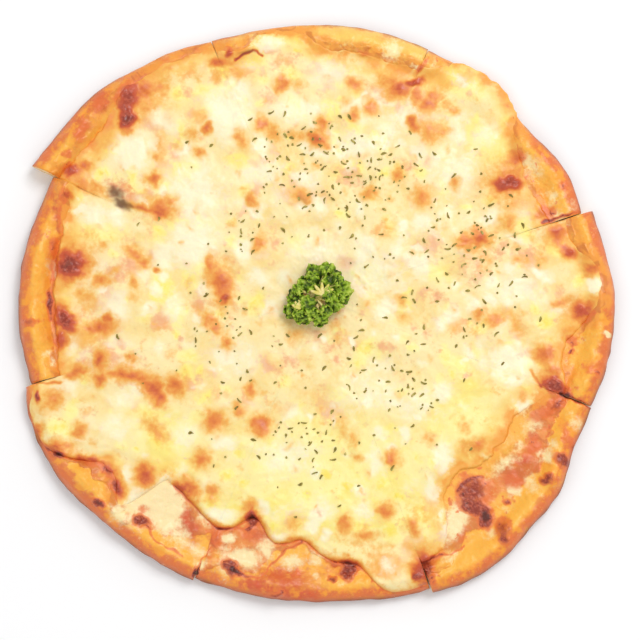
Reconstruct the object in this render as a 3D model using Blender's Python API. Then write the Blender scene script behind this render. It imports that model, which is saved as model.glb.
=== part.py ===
"""A white pizza of about 30 cm, cut into eight slices that still lie together.

Each slice is a wedge of dough with a raised rim and a wedge of melted cheese that lies on it, cut through at
the same place. Dried herb flakes stick to the cheese, and a sprig of curly parsley lies over the place where
the cuts cross. Metres, +Z up. The origin is under the middle of the outline, on the table. Bearings are
degrees anticlockwise from +X, seen from the place where the cuts cross.
"""

import math
import random
from collections import namedtuple

import bmesh
import bpy
from mathutils import Euler, Matrix, Vector, noise

# Where the cuts cross, off the middle of the outline.
CUT_CENTRE = Vector((0.0022, 0.0064, 0.0))
CUT_GAP = 0.0003
LAYER_GAP = 0.0003
SECTION_EVERY = 3.6

DOUGH_AT_TIP = 0.0048
DOUGH_AT_RIM = 0.0062
RIM_WIDTH = 0.0165
RIM_WIDEST_AT = 0.40
RIM_CREST_AT = 0.55
FOOT_ROUND = 0.0042
RIM_WAVE = 0.0013

CHEESE_THICKNESS = 0.0034
CHEESE_ON_RIM = 0.0018
CHEESE_FRONT = 0.0034
CHEESE_SAG = 0.22
CHEESE_LIP = 0.0034
CHEESE_WAVE = 0.0009
WAVE_LENGTH = 0.021

# A slice runs from its start bearing to its end bearing. rim and front hold knots, a bearing and a distance
# from CUT_CENTRE: rim is the dough's outer edge and front is where the cheese ends. crest is the rim's height.
Slice = namedtuple("Slice", "name start end crest rim front")
SLICES = (
    Slice("right", -22.0, 18.0, 0.0112,
          ((-22, 0.1455), (-14, 0.1472), (-5, 0.1478), (3, 0.1470), (8, 0.1453), (17.8, 0.1432)),
          ((-22, 0.132), (-12, 0.124), (-4, 0.136), (2, 0.141), (6, 0.140), (11, 0.130), (17.8, 0.129))),
    Slice("upper_right", 18.0, 66.7, 0.0106,
          ((18.2, 0.1380), (26, 0.1395), (40, 0.1348), (47, 0.1370), (58, 0.1370), (66.5, 0.1368)),
          ((18.2, 0.121), (28, 0.1195), (36, 0.1235), (41, 0.131), (45, 0.1390), (57, 0.1402),
           (62, 0.135), (66.5, 0.127))),
    Slice("top", 66.7, 113.1, 0.0104,
          ((67, 0.1373), (78, 0.1384), (90, 0.1389), (101, 0.1396), (106, 0.1398), (112.8, 0.1419)),
          ((67, 0.1245), (80, 0.1255), (90, 0.1275), (95, 0.135), (102, 0.1372), (107, 0.132),
           (112.8, 0.136))),
    Slice("upper_left", 113.1, 155.5, 0.0108,
          ((113.5, 0.1419), (119, 0.1453), (128, 0.1487), (138, 0.1543), (148, 0.1567), (155.2, 0.1600)),
          ((113.5, 0.1395), (128, 0.1445), (135, 0.1435), (142, 0.1405), (148, 0.141), (155.2, 0.145))),
    Slice("left", 155.5, 196.7, 0.0118,
          ((155.8, 0.1480), (162, 0.1486), (170, 0.1506), (184, 0.1520), (196.4, 0.1512)),
          ((155.8, 0.1415), (162, 0.136), (172, 0.134), (186, 0.1335), (196.4, 0.137))),
    Slice("lower_left", 196.7, 245.7, 0.0112,
          ((197, 0.1547), (203, 0.1584), (214, 0.1592), (226, 0.1560), (245.4, 0.1548)),
          ((197, 0.1515), (206, 0.155), (212, 0.151), (217, 0.1375), (222, 0.1375), (226, 0.146),
           (230, 0.120), (236, 0.120), (245.4, 0.126))),
    Slice("bottom", 245.7, 290.6, 0.0104,
          ((246, 0.1532), (258, 0.1523), (274, 0.1516), (285, 0.1543), (290.3, 0.1550)),
          ((246, 0.126), (249, 0.1235), (253, 0.1145), (258.5, 0.1238), (265, 0.121), (271, 0.129),
           (278, 0.1335), (281, 0.146), (285, 0.1520), (290.3, 0.1525))),
    Slice("lower_right", 290.6, 338.0, 0.0112,
          ((290.9, 0.1575), (299, 0.1594), (306, 0.1584), (312, 0.1554), (320, 0.1541), (330, 0.1470),
           (337.7, 0.1460)),
          ((290.9, 0.142), (295, 0.140), (299, 0.124), (306, 0.111), (314, 0.1155), (323, 0.1155),
           (330, 0.1135), (337.7, 0.125))),
)

# Blown bubbles in the rim: bearing, distance from CUT_CENTRE, radius, height.
BUBBLES = (
    (218.0, 0.1465, 0.0140, 0.0036),
    (170.0, 0.1430, 0.0110, 0.0014),
    (188.0, 0.1440, 0.0120, 0.0016),
    (309.0, 0.1500, 0.0110, 0.0020),
    (322.0, 0.1460, 0.0130, 0.0018),
    (8.0, 0.1370, 0.0100, 0.0016),
    (29.0, 0.1320, 0.0110, 0.0016),
    (237.0, 0.1440, 0.0120, 0.0016),
    (148.0, 0.1480, 0.0110, 0.0014),
    (78.0, 0.1300, 0.0110, 0.0012),
)

# Herb flakes lie in drifts: x and y off CUT_CENTRE, the drift's spread each way, and how many fell there.
DRIFTS = (
    (-0.004, 0.066, 0.016, 0.017, 62),
    (0.025, 0.058, 0.015, 0.014, 46),
    (0.074, 0.024, 0.015, 0.024, 58),
    (0.040, -0.047, 0.012, 0.011, 26),
    (-0.010, -0.074, 0.013, 0.010, 24),
    (-0.039, 0.029, 0.005, 0.007, 10),
    (-0.043, -0.012, 0.009, 0.012, 14),
    (0.000, 0.000, 0.062, 0.060, 90),
)
FLAKE_SEED = 7
FLAKE_LENGTH = (0.0014, 0.0040)
FLAKE_WIDTH = 0.0009
FLAKE_SUNK = 0.0004
FLAKE_PROUD = 0.0003
FLAKE_FUSED_FROM = 0.0030
FLAKES_REACH = 0.112
FLAKE_SPACING = 0.0034
FLAKE_OFF_CUT = 0.0022

# The parsley's middle, off CUT_CENTRE, and the clear space round it that the flakes keep.
SPRIG_AT = Vector((-0.003, 0.001, 0.0))
SPRIG_CLEAR = 0.019
SPRIG_REST = 0.0004
LEAF_THICKNESS = 0.0006
LEAF_LOBES = 5
LEAF_RINGS = ((0.50, 0.16), (1.0, 0.42))
STEM_RADIUS = 0.0009
STEM_SIDES = 5
STEM_STEPS = 2
WELD = 2e-6
# Each leaflet: x and y off SPRIG_AT, height over the cheese, radius, lean in degrees, the bearing it leans to.
LEAFLETS = (
    (0.0085, 0.0095, 0.0048, 0.0062, 24, 60),
    (0.0000, 0.0125, 0.0042, 0.0056, 26, 105),
    (0.0135, 0.0020, 0.0046, 0.0058, 26, 350),
    (0.0035, 0.0040, 0.0082, 0.0060, 12, 80),
    (0.0100, -0.0045, 0.0064, 0.0052, 22, 320),
    (-0.0050, 0.0060, 0.0058, 0.0052, 20, 140),
    (-0.0110, -0.0010, 0.0040, 0.0052, 26, 170),
    (-0.0125, -0.0085, 0.0038, 0.0050, 26, 215),
    (-0.0045, -0.0055, 0.0070, 0.0052, 14, 220),
    (-0.0060, -0.0120, 0.0040, 0.0046, 26, 260),
    (0.0030, -0.0130, 0.0036, 0.0042, 26, 285),
)
STEM_JOINT = Vector((0.0000, -0.0010, 0.0030))
STALK_END = Vector((-0.0085, -0.0040, 0.0016))


def clear_scene():
    for obj in list(bpy.data.objects):
        bpy.data.objects.remove(obj, do_unlink=True)


def material(name, colour, roughness):
    made = bpy.data.materials.new(name)
    made.use_nodes = True
    made.diffuse_color = (*colour, 1.0)
    shader = made.node_tree.nodes["Principled BSDF"]
    shader.inputs["Base Color"].default_value = (*colour, 1.0)
    shader.inputs["Roughness"].default_value = roughness
    shader.inputs["Metallic"].default_value = 0.0
    return made


def add_object(name, bm, look=None, collection=None):
    mesh = bpy.data.meshes.new(name)
    bm.to_mesh(mesh)
    bm.free()
    obj = bpy.data.objects.new(name, mesh)
    (collection or bpy.context.scene.collection).objects.link(obj)
    if look:
        mesh.materials.append(look)
    return obj


def direction(bearing):
    return Vector((math.cos(math.radians(bearing)), math.sin(math.radians(bearing)), 0.0))


def smooth_step(share):
    share = min(max(share, 0.0), 1.0)
    return share * share * (3.0 - 2.0 * share)


def read_curve(knots, bearing):
    """The value at a bearing on the smooth curve through the knots, which never overshoots one."""
    steps = [(b - a, (to - at) / (b - a)) for (a, at), (b, to) in zip(knots, knots[1:])]
    slopes = [steps[0][1]]
    for (_, before), (_, after) in zip(steps, steps[1:]):
        slopes.append(2.0 * before * after / (before + after) if before * after > 0.0 else 0.0)
    slopes.append(steps[-1][1])
    index = 0
    while index < len(steps) - 1 and bearing > knots[index + 1][0]:
        index += 1
    width = steps[index][0]
    share = min(max((bearing - knots[index][0]) / width, 0.0), 1.0)
    rise = smooth_step(share)
    leave = share * (1.0 - share) ** 2 * width * slopes[index]
    arrive = share * share * (share - 1.0) * width * slopes[index + 1]
    return knots[index][1] * (1.0 - rise) + knots[index + 1][1] * rise + leave + arrive


def wave(point, length):
    """Smooth unevenness between about -1 and 1, in plan."""
    return noise.noise(Vector((point.x / length, point.y / length, 0.0))) * 2.0


def bubble_height(point):
    height = 0.0
    for bearing, distance, radius, rise in BUBBLES:
        away = (point - CUT_CENTRE - direction(bearing) * distance).length / radius
        height = max(height, rise * smooth_step(1.0 - away))
    return height


class Wedge:
    """The surfaces of one slice, each read at a bearing and a distance from the slice's own tip."""

    def __init__(self, piece):
        self.piece = piece
        half = math.radians(piece.end - piece.start) / 2.0
        self.inset = CUT_GAP / 2.0 / math.sin(half)
        self.tip = CUT_CENTRE + direction((piece.start + piece.end) / 2.0) * self.inset

    def bearings(self):
        count = round((self.piece.end - self.piece.start) / SECTION_EVERY)
        step = (self.piece.end - self.piece.start) / count
        return [self.piece.start + step * index for index in range(count + 1)]

    def at(self, bearing, distance, height):
        return self.tip + direction(bearing) * distance + Vector((0.0, 0.0, height))

    def rim(self, bearing):
        return read_curve(self.piece.rim, bearing) - self.inset

    def front(self, bearing):
        return read_curve(self.piece.front, bearing) - self.inset

    def crest(self, bearing):
        over = self.at(bearing, self.rim(bearing) - RIM_WIDTH / 2.0, 0.0)
        covered = smooth_step((self.front(bearing) - self.rim(bearing) + 0.009) / 0.006)
        return self.piece.crest + RIM_WAVE * wave(over, WAVE_LENGTH) - 0.0022 * covered

    def dough_top(self, bearing, distance):
        """Height of the dough: flat under the cheese, up to the crest and over it, round to the widest place."""
        rim = self.rim(bearing)
        crest = self.crest(bearing)
        share = (distance - rim + RIM_WIDTH) / RIM_WIDTH
        floor = DOUGH_AT_TIP + (DOUGH_AT_RIM - DOUGH_AT_TIP) * min(distance / (rim - RIM_WIDTH), 1.0)
        bubble = bubble_height(self.at(bearing, distance, 0.0))
        if share < RIM_CREST_AT:
            return floor + (crest - floor) * smooth_step(share / RIM_CREST_AT) + bubble
        over = min((share - RIM_CREST_AT) / (1.0 - RIM_CREST_AT), 1.0)
        widest = RIM_WIDEST_AT * crest
        return widest + (crest + bubble - widest) * math.sqrt(1.0 - over * over)

    def cheese_bed(self, bearing, distance):
        """What the cheese follows: the dough up to its crest, then a gentle fall past the edge."""
        crest_at = self.rim(bearing) - RIM_WIDTH * (1.0 - RIM_CREST_AT)
        past = max(distance - crest_at, 0.0)
        return self.dough_top(bearing, min(distance, crest_at)) - CHEESE_SAG * past

    def cheese_top(self, bearing, distance):
        on_rim = smooth_step((distance - self.rim(bearing) + RIM_WIDTH) / RIM_WIDTH)
        thickness = CHEESE_THICKNESS + (CHEESE_ON_RIM - CHEESE_THICKNESS) * on_rim
        left = max(self.front(bearing) - distance, 0.0)
        rolled = 1.0 - min(left / CHEESE_FRONT, 1.0)
        relief = CHEESE_WAVE * wave(self.at(bearing, distance, 0.0), WAVE_LENGTH)
        body = (thickness + relief) * math.sqrt(1.0 - rolled * rolled)
        return self.cheese_bed(bearing, distance) + body


def dough_section(wedge, bearing, grown=0.0, depth=0.0):
    """The dough's outline in the upright plane at a bearing, from under the tip outwards and back over the top.

    grown lifts it and pushes the edge out, and depth lowers the underside, for a cutter of the same shape.
    """
    rim = wedge.rim(bearing)
    widest = RIM_WIDEST_AT * wedge.crest(bearing)
    points = [(0.0, -depth), ((rim - FOOT_ROUND) * 0.5, -depth), (rim - FOOT_ROUND + grown, -depth)]
    for angle in (30.0, 60.0, 90.0):
        out = FOOT_ROUND * (1.0 - math.sin(math.radians(angle)))
        up = widest * (1.0 - math.cos(math.radians(angle)))
        points.append((rim - out + grown, up if depth == 0.0 else min(up, widest)))
    for share in (0.965, 0.88, 0.74, RIM_CREST_AT, 0.38, 0.22, 0.0):
        distance = rim - RIM_WIDTH * (1.0 - share)
        out = grown if share > RIM_CREST_AT else 0.0
        points.append((distance + out, wedge.dough_top(bearing, distance) + grown))
    inner = rim - RIM_WIDTH
    for share in (0.8, 0.55, 0.3, 0.0):
        points.append((inner * share, wedge.dough_top(bearing, inner * share) + grown))
    return [wedge.at(bearing, distance, height) for distance, height in points]


def cheese_section(wedge, bearing):
    """The cheese's outline at a bearing. Its underside runs inside the dough, which is cut away from it."""
    front = wedge.front(bearing)
    rim = wedge.rim(bearing)
    crest_at = rim - RIM_WIDTH * (1.0 - RIM_CREST_AT)
    lip_height = wedge.cheese_bed(bearing, crest_at) - CHEESE_LIP
    deep = DOUGH_AT_TIP / 2.0
    under = deep + (lip_height - deep) * smooth_step((front - rim + RIM_WIDTH) / RIM_WIDTH)
    points = [(0.0, deep), (front * 0.5, deep), (front * 0.85, deep), (front - CHEESE_FRONT, under)]
    points.append((front, under))
    for share in (1.0, 0.96, 0.7, 0.35, 0.0):
        distance = front - CHEESE_FRONT * (1.0 - share)
        height = wedge.cheese_top(bearing, distance)
        points.append((distance, max(height, under + 0.0008)))
    inner = front - CHEESE_FRONT
    for step in range(11, -1, -1):
        distance = inner * (step + 0.4 * (step > 0)) / 12.0
        points.append((distance, wedge.cheese_top(bearing, distance)))
    return [wedge.at(bearing, distance, height) for distance, height in points]


def sweep(name, sections, look=None):
    """A closed body: the first section's face extruded from section to section, and the tip's points merged."""
    bm = bmesh.new()
    rings = [[bm.verts.new(point) for point in section] for section in sections]
    for ring, following in zip(rings, rings[1:]):
        for index in range(len(ring)):
            after = (index + 1) % len(ring)
            bm.faces.new((ring[index], ring[after], following[after]))
            bm.faces.new((ring[index], following[after], following[index]))
    bm.faces.new(rings[0])
    bm.faces.new(rings[-1])
    bmesh.ops.remove_doubles(bm, verts=bm.verts[:], dist=WELD)
    bmesh.ops.recalc_face_normals(bm, faces=bm.faces[:])
    obj = add_object(name, bm, look)
    obj.data.shade_smooth()
    obj.data.set_sharp_from_angle(angle=math.radians(40.0))
    return obj


def apply_modifier(obj):
    graph = bpy.context.evaluated_depsgraph_get()
    mesh = bpy.data.meshes.new_from_object(obj.evaluated_get(graph))
    obj.modifiers.clear()
    obj.data = mesh
    bm = bmesh.new()
    bm.from_mesh(mesh)
    bmesh.ops.remove_doubles(bm, verts=bm.verts[:], dist=WELD)
    bmesh.ops.dissolve_degenerate(bm, edges=bm.edges[:], dist=WELD)
    bmesh.ops.triangulate(bm, faces=[face for face in bm.faces if len(face.verts) > 3])
    bm.to_mesh(mesh)
    bm.free()


def cut_away(obj, cutter):
    tool = obj.modifiers.new("cut", "BOOLEAN")
    tool.operation = "DIFFERENCE"
    tool.solver = "EXACT"
    tool.object = cutter
    apply_modifier(obj)
    bpy.data.objects.remove(cutter, do_unlink=True)


def join_all(obj, pieces):
    """Joins what a collection holds to the object, then removes the collection and its objects."""
    tool = obj.modifiers.new("join", "BOOLEAN")
    tool.operation = "UNION"
    tool.solver = "MANIFOLD"
    tool.operand_type = "COLLECTION"
    tool.collection = pieces
    apply_modifier(obj)
    for piece in list(pieces.objects):
        bpy.data.objects.remove(piece, do_unlink=True)
    bpy.data.collections.remove(pieces)


def new_collection(name):
    made = bpy.data.collections.new(name)
    bpy.context.scene.collection.children.link(made)
    return made


def add_dough(wedge, look):
    sections = [dough_section(wedge, bearing) for bearing in wedge.bearings()]
    return sweep(f"dough_{wedge.piece.name}", sections, look)


def add_cheese(wedge, look):
    cheese = sweep(f"cheese_{wedge.piece.name}", [cheese_section(wedge, at) for at in wedge.bearings()], look)
    spread = wedge.bearings()
    past = SECTION_EVERY / 2.0
    around = [spread[0] - past, *spread, spread[-1] + past]
    sections = [dough_section(wedge, bearing, LAYER_GAP, 0.004) for bearing in around]
    behind = direction((wedge.piece.start + wedge.piece.end) / 2.0) * -0.002
    for section in sections:
        section[0] += behind
        section[-1] += behind
    cut_away(cheese, sweep("dough_cutter", sections))
    return cheese


def flake_places():
    """Every flake's place off CUT_CENTRE, length and turn, the longest first, none touching another."""
    draw = random.Random(FLAKE_SEED)
    fallen = []
    for x, y, spread_x, spread_y, count in DRIFTS:
        for _ in range(count):
            place = Vector((draw.gauss(x, spread_x), draw.gauss(y, spread_y), 0.0))
            length = draw.uniform(*FLAKE_LENGTH)
            fallen.append((length, place, draw.uniform(0.0, 180.0)))
    fallen.sort(key=lambda flake: -flake[0])
    kept = []
    for length, place, turn in fallen:
        clear = all((place - other).length > FLAKE_SPACING for _, other, _ in kept)
        if clear and place.length < FLAKES_REACH and (place - SPRIG_AT).length > SPRIG_CLEAR:
            kept.append((length, place, turn))
    return kept


def off_cut(wedge, place):
    """How far inside the slice's two cuts a place lies."""
    start = direction(wedge.piece.start)
    end = direction(wedge.piece.end)
    return min(start.x * place.y - start.y * place.x, end.y * place.x - end.x * place.y)


def fuse_flakes(wedge, cheese, flakes):
    """Joins the larger flakes to the cheese: thin tapered chips, pressed a little way in."""
    chips = new_collection("chips")
    for length, place, turn in flakes:
        bearing = math.degrees(math.atan2(place.y, place.x)) % 360.0
        if bearing > wedge.piece.end:
            bearing -= 360.0
        if length < FLAKE_FUSED_FROM or off_cut(wedge, place) < FLAKE_OFF_CUT:
            continue
        top = wedge.cheese_top(bearing, place.length - wedge.inset)
        bm = bmesh.new()
        bmesh.ops.create_cube(bm, size=1.0)
        for vert in bm.verts:
            narrow = 0.55 if vert.co.x > 0.0 else 1.0
            vert.co.x *= length
            vert.co.y *= FLAKE_WIDTH * narrow
            vert.co.z = FLAKE_PROUD if vert.co.z > 0.0 else -FLAKE_SUNK
        lift = Vector((0.0, 0.0, top))
        spin = Matrix.Rotation(math.radians(turn), 4, "Z")
        bm.transform(Matrix.Translation(CUT_CENTRE + place + lift) @ spin)
        add_object("chip", bm, collection=chips)
    join_all(cheese, chips)


def leaflet(radius, phase):
    """A frilled fan with a deep notch for its stalk, waved up and down at its edge."""
    bm = bmesh.new()
    sectors = LEAF_LOBES * 2
    levels = []
    for share, ruffle in LEAF_RINGS:
        ring = []
        for sector in range(sectors):
            turn = 2.0 * math.pi * sector / sectors
            lobe = 1.0 + 0.20 * share * math.cos(LEAF_LOBES * turn)
            up = ruffle * radius * math.sin(LEAF_LOBES * turn + phase) * share
            out = radius * share * lobe
            ring.append(bm.verts.new((out * math.cos(turn), out * math.sin(turn), up)))
        levels.append(ring)
    middle = bm.verts.new((0.0, 0.0, 0.0))
    for sector in range(sectors):
        after = (sector + 1) % sectors
        bm.faces.new((middle, levels[0][sector], levels[0][after]))
        for ring, outer in zip(levels, levels[1:]):
            bm.faces.new((ring[sector], outer[sector], outer[after]))
            bm.faces.new((ring[sector], outer[after], ring[after]))
    back = bmesh.ops.duplicate(bm, geom=bm.verts[:] + bm.edges[:] + bm.faces[:])
    twin = back["vert_map"]
    lower = [item for item in back["geom"] if isinstance(item, bmesh.types.BMVert)]
    bmesh.ops.translate(bm, verts=lower, vec=(0.0, 0.0, -LEAF_THICKNESS))
    edge = levels[-1]
    for sector in range(sectors):
        after = (sector + 1) % sectors
        bm.faces.new((edge[sector], twin[edge[sector]], twin[edge[after]], edge[after]))
    bmesh.ops.recalc_face_normals(bm, faces=bm.faces[:])
    bmesh.ops.triangulate(bm, faces=[face for face in bm.faces if len(face.verts) > 3])
    return bm


def stem(start, end, rise):
    """A thin tapering tube that arches from one point to another."""
    bm = bmesh.new()
    rings = []
    for step in range(STEM_STEPS + 1):
        share = step / STEM_STEPS
        arch = Vector((0.0, 0.0, rise * 4.0 * share * (1.0 - share)))
        along = (end - start).normalized()
        side = along.cross(Vector((0.0, 0.0, 1.0))).normalized()
        up = side.cross(along)
        ring = []
        for corner in range(STEM_SIDES):
            turn = 2.0 * math.pi * corner / STEM_SIDES
            out = side * math.cos(turn) + up * math.sin(turn)
            ring.append(bm.verts.new(start.lerp(end, share) + arch + out * STEM_RADIUS * (1.0 - 0.3 * share)))
        rings.append(ring)
    for ring, following in zip(rings, rings[1:]):
        for corner in range(STEM_SIDES):
            after = (corner + 1) % STEM_SIDES
            bm.faces.new((ring[corner], ring[after], following[after], following[corner]))
    bm.faces.new(rings[0])
    bm.faces.new(rings[-1])
    bmesh.ops.recalc_face_normals(bm, faces=bm.faces[:])
    return bm


def add_parsley(rest_height, look):
    """A sprig of curly parsley: frilled leaflets on short stems, all one body, laid on the cheese."""
    base = CUT_CENTRE + SPRIG_AT + Vector((0.0, 0.0, rest_height))
    pieces = new_collection("pieces")
    bodies = [stem(STALK_END, STEM_JOINT, 0.0)]
    for number, (x, y, height, radius, lean, toward) in enumerate(LEAFLETS):
        middle = Vector((x, y, height))
        bodies.append(stem(STEM_JOINT, middle, 0.0012))
        leaf = leaflet(radius, 1.3 * number)
        axis = direction(toward + 90.0)
        lean_over = Matrix.Rotation(math.radians(lean), 4, axis)
        spin = Euler((0.0, 0.0, math.radians(47.0 * number))).to_matrix().to_4x4()
        leaf.transform(Matrix.Translation(middle) @ lean_over @ spin)
        bodies.append(leaf)
    for body in bodies[1:]:
        body.transform(Matrix.Translation(base))
        add_object("piece", body, collection=pieces)
    bodies[0].transform(Matrix.Translation(base))
    parsley = add_object("parsley", bodies[0], look)
    join_all(parsley, pieces)
    lowest = min(vert.co.z for vert in parsley.data.vertices)
    parsley.data.transform(Matrix.Translation((0.0, 0.0, rest_height + SPRIG_REST - lowest)))
    return parsley


def main():
    clear_scene()
    crust_look = material("baked_crust", (0.84, 0.42, 0.10), 0.62)
    cheese_look = material("melted_cheese", (0.95, 0.83, 0.46), 0.38)
    leaf_look = material("parsley_leaf", (0.13, 0.25, 0.03), 0.55)
    flakes = flake_places()
    highest = 0.0
    for piece in SLICES:
        wedge = Wedge(piece)
        add_dough(wedge, crust_look)
        cheese = add_cheese(wedge, cheese_look)
        fuse_flakes(wedge, cheese, flakes)
        for vert in cheese.data.vertices:
            if (vert.co - CUT_CENTRE - SPRIG_AT).to_2d().length < SPRIG_CLEAR:
                highest = max(highest, vert.co.z)
    add_parsley(highest, leaf_look)


main()
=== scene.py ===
"""The looks of a sliced white pizza: browned crust, blistered melted cheese, herb flakes and curly parsley.

Every slice is made again in place of its solids, from the same sizes, as a finer crust and a finer sheet of
cheese. Metres, +Z up. Bearings are degrees anticlockwise from +X, seen from the place where the cuts cross.
"""

import math
import random
from collections import namedtuple

import bpy
import numpy as np
from mathutils import Matrix, Vector, noise


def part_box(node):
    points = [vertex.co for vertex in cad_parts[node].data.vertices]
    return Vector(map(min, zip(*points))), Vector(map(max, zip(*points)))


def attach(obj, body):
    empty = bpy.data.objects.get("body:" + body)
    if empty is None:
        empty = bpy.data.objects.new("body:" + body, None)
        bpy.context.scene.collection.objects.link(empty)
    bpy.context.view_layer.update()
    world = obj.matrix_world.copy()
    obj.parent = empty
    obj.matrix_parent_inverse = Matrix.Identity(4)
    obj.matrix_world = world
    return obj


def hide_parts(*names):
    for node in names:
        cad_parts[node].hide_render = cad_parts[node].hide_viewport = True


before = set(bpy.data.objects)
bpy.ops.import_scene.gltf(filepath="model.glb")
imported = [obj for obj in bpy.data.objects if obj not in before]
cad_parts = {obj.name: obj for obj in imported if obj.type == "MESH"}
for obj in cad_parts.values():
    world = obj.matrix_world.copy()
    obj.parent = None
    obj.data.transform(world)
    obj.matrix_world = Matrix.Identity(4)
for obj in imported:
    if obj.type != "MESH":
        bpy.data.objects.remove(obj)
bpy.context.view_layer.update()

MM = 0.001

# ---------------------------------------------------------------- sizes that the solids have too

CUT_CENTRE = np.array((2.2, 6.4)) * MM
DOUGH_AT_TIP = 4.8 * MM
DOUGH_AT_RIM = 6.2 * MM
RIM_WIDTH = 16.5 * MM
RIM_WIDEST_AT = 0.40
RIM_CREST_AT = 0.55
FOOT_ROUND = 4.2 * MM
RIM_WAVE = 1.3 * MM
CHEESE_THICKNESS = 3.4 * MM
CHEESE_ON_RIM = 1.8 * MM
CHEESE_FRONT = 3.4 * MM
CHEESE_SAG = 0.22
CHEESE_LIP = 3.4 * MM
CHEESE_WAVE = 0.9 * MM
WAVE_LENGTH = 21.0 * MM
# Where the cheese comes within COVERED_FROM of the rim's edge, the rim is lower.
COVERED_FROM = 9.0 * MM
COVERED_RUN = 6.0 * MM
COVERED_DROP = 2.2 * MM

# rim and front hold knots, a bearing and a distance in millimetres from CUT_CENTRE: rim is the crust's
# outer edge and front is where the cheese ends. crest is the rim's height in millimetres.
Slice = namedtuple("Slice", "name start end crest rim front")
SLICES = (
    Slice("right", -22.0, 18.0, 11.2,
          ((-22, 145.5), (-14, 147.2), (-5, 147.8), (3, 147.0), (8, 145.3), (17.8, 143.2)),
          ((-22, 132), (-17, 127), (-12, 124.5), (-8, 128.5), (-4, 135.5), (0, 140), (4.5, 141), (8, 137.5),
           (11, 130.3), (17.8, 129.3))),
    Slice("upper_right", 18.0, 66.7, 10.6,
          ((18.2, 138.0), (26, 139.5), (40, 134.8), (47, 137.0), (58, 137.0), (66.5, 136.8)),
          ((18.2, 121.5), (28, 119.5), (36, 123.5), (41, 130), (44, 137.2), (47, 139.6), (57, 140.2),
           (60, 138.5), (63, 131), (66.5, 127))),
    Slice("top", 66.7, 113.1, 10.4,
          ((67, 137.3), (78, 138.4), (90, 138.9), (101, 139.6), (106, 139.8), (112.8, 141.9)),
          ((67, 124.8), (80, 125.5), (89, 127), (92, 131.5), (95, 136.2), (102, 137.6), (105, 135.5),
           (107, 131.5), (112.8, 135.5))),
    Slice("upper_left", 113.1, 155.5, 10.8,
          ((113.5, 141.9), (119, 145.3), (128, 148.7), (138, 154.3), (148, 156.7), (155.2, 160.0)),
          ((113.5, 139.8), (128, 144.4), (134, 144.3), (143, 140.5), (148, 141.3), (155.2, 145.5))),
    Slice("left", 155.5, 196.7, 11.8,
          ((155.8, 148.0), (162, 148.6), (170, 150.6), (184, 152.0), (196.4, 151.2)),
          ((155.8, 141.5), (162, 136), (172, 134), (186, 133.5), (196.4, 137))),
    Slice("lower_left", 196.7, 245.7, 11.2,
          ((197, 154.7), (203, 158.4), (214, 159.2), (226, 156.0), (245.4, 154.8)),
          ((197, 151.5), (201, 156), (207, 157.2), (211, 152.5), (214.5, 143.5), (218.6, 136.2),
           (222, 138.5), (225.5, 146), (227.4, 143), (229, 119.5), (232, 118.6), (238, 121.2),
           (245.4, 126))),
    Slice("bottom", 245.7, 290.6, 10.4,
          ((246, 153.2), (258, 152.3), (274, 151.6), (285, 154.3), (290.3, 155.0)),
          ((246, 126), (249.5, 122.5), (252.4, 114.3), (255, 115.8), (258.3, 124), (260.5, 124.4),
           (265.5, 121), (269.8, 127.5), (273, 131.6), (278, 134), (280.5, 144), (284, 151.5),
           (290.3, 152.5))),
    Slice("lower_right", 290.6, 338.0, 11.2,
          ((290.9, 157.5), (299, 159.4), (306, 158.4), (312, 155.4), (320, 154.1), (330, 147.0),
           (337.7, 146.0)),
          ((290.9, 142), (295, 139.8), (298.5, 133), (301.5, 119), (304.5, 112.3), (308, 111.3),
           (314, 115.4), (322, 116), (329, 113.5), (333, 118.5), (337.7, 125))),
)
# How far the cheese melted into the crust, 0 to 1 at each bearing: 0 leaves it a crisp front.
MELT = (
    (-22, 0.92), (-12, 0.92), (-3, 1.0), (66, 0.95), (92, 0.9), (103, 0.9), (112, 0.92), (155, 1.0),
    (196, 0.9), (203, 0.25), (209, 0.0), (213, 0.0), (218, 1.0), (229, 1.0), (233, 0.0), (284, 0.05),
    (291, 0.45), (297, 0.8), (303, 0.98), (330, 1.0), (338, 1.0),
)
# Where it melted, the cheese thins to MELT_LEFT over MELT_RUN, and the crust is filled up beside it.
MELT_LEFT = 0.80
MELT_RUN = 11.0 * MM
MELT_FILLET = 7.5 * MM
FILLET_SHARE = 1.08
FILLET_FROM = 4.0 * MM
FILLET_RISE = 2.0 * MM
MELT_SHARPENS = 0.6
# Waves along the front: a height in millimetres, a length in degrees and the noise layer.
FRONT_WAVES = ((0.9, 3.4, 31.0), (0.5, 1.3, 32.0))
CRISP_SHARE = 0.25
# The warm colour along a melted front: full to SHORE_FROM on both sides, then fading.
SHORE_FROM = 2.6 * MM
SHORE_ON_CHEESE = 6.0 * MM
SHORE_ON_CRUST = 5.0 * MM
EDGE_WIDTH = 4.0 * MM
# A thin second film of cheese runs past the front, by so many millimetres at each bearing.
FILM = (
    (-22, 4), (-12, 3), (-3, 3), (4, 2), (12, 3), (18, 3), (28, 3), (38, 2), (44, 1), (57, 0.6), (64, 2),
    (75, 3), (88, 3), (95, 1.5), (103, 1.5), (108, 3), (118, 3), (130, 3), (142, 4), (155, 4), (160, 3),
    (196, 3), (202, 0.6), (208, 0.6), (214, 4), (219, 7), (224, 4), (227.5, 6), (229, 27), (233, 25),
    (238, 20), (241, 14), (245, 6), (247, 23), (250, 21), (253, 30), (255.7, 25), (257.6, 15), (260, 5),
    (266, 3), (276, 3), (281, 1), (288, 1), (291, 6), (297, 9), (301, 20), (305, 27), (312, 25),
    (318, 22), (326, 22), (333, 14), (338, 8),
)
FILM_FADE = 1.3 * MM
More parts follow.
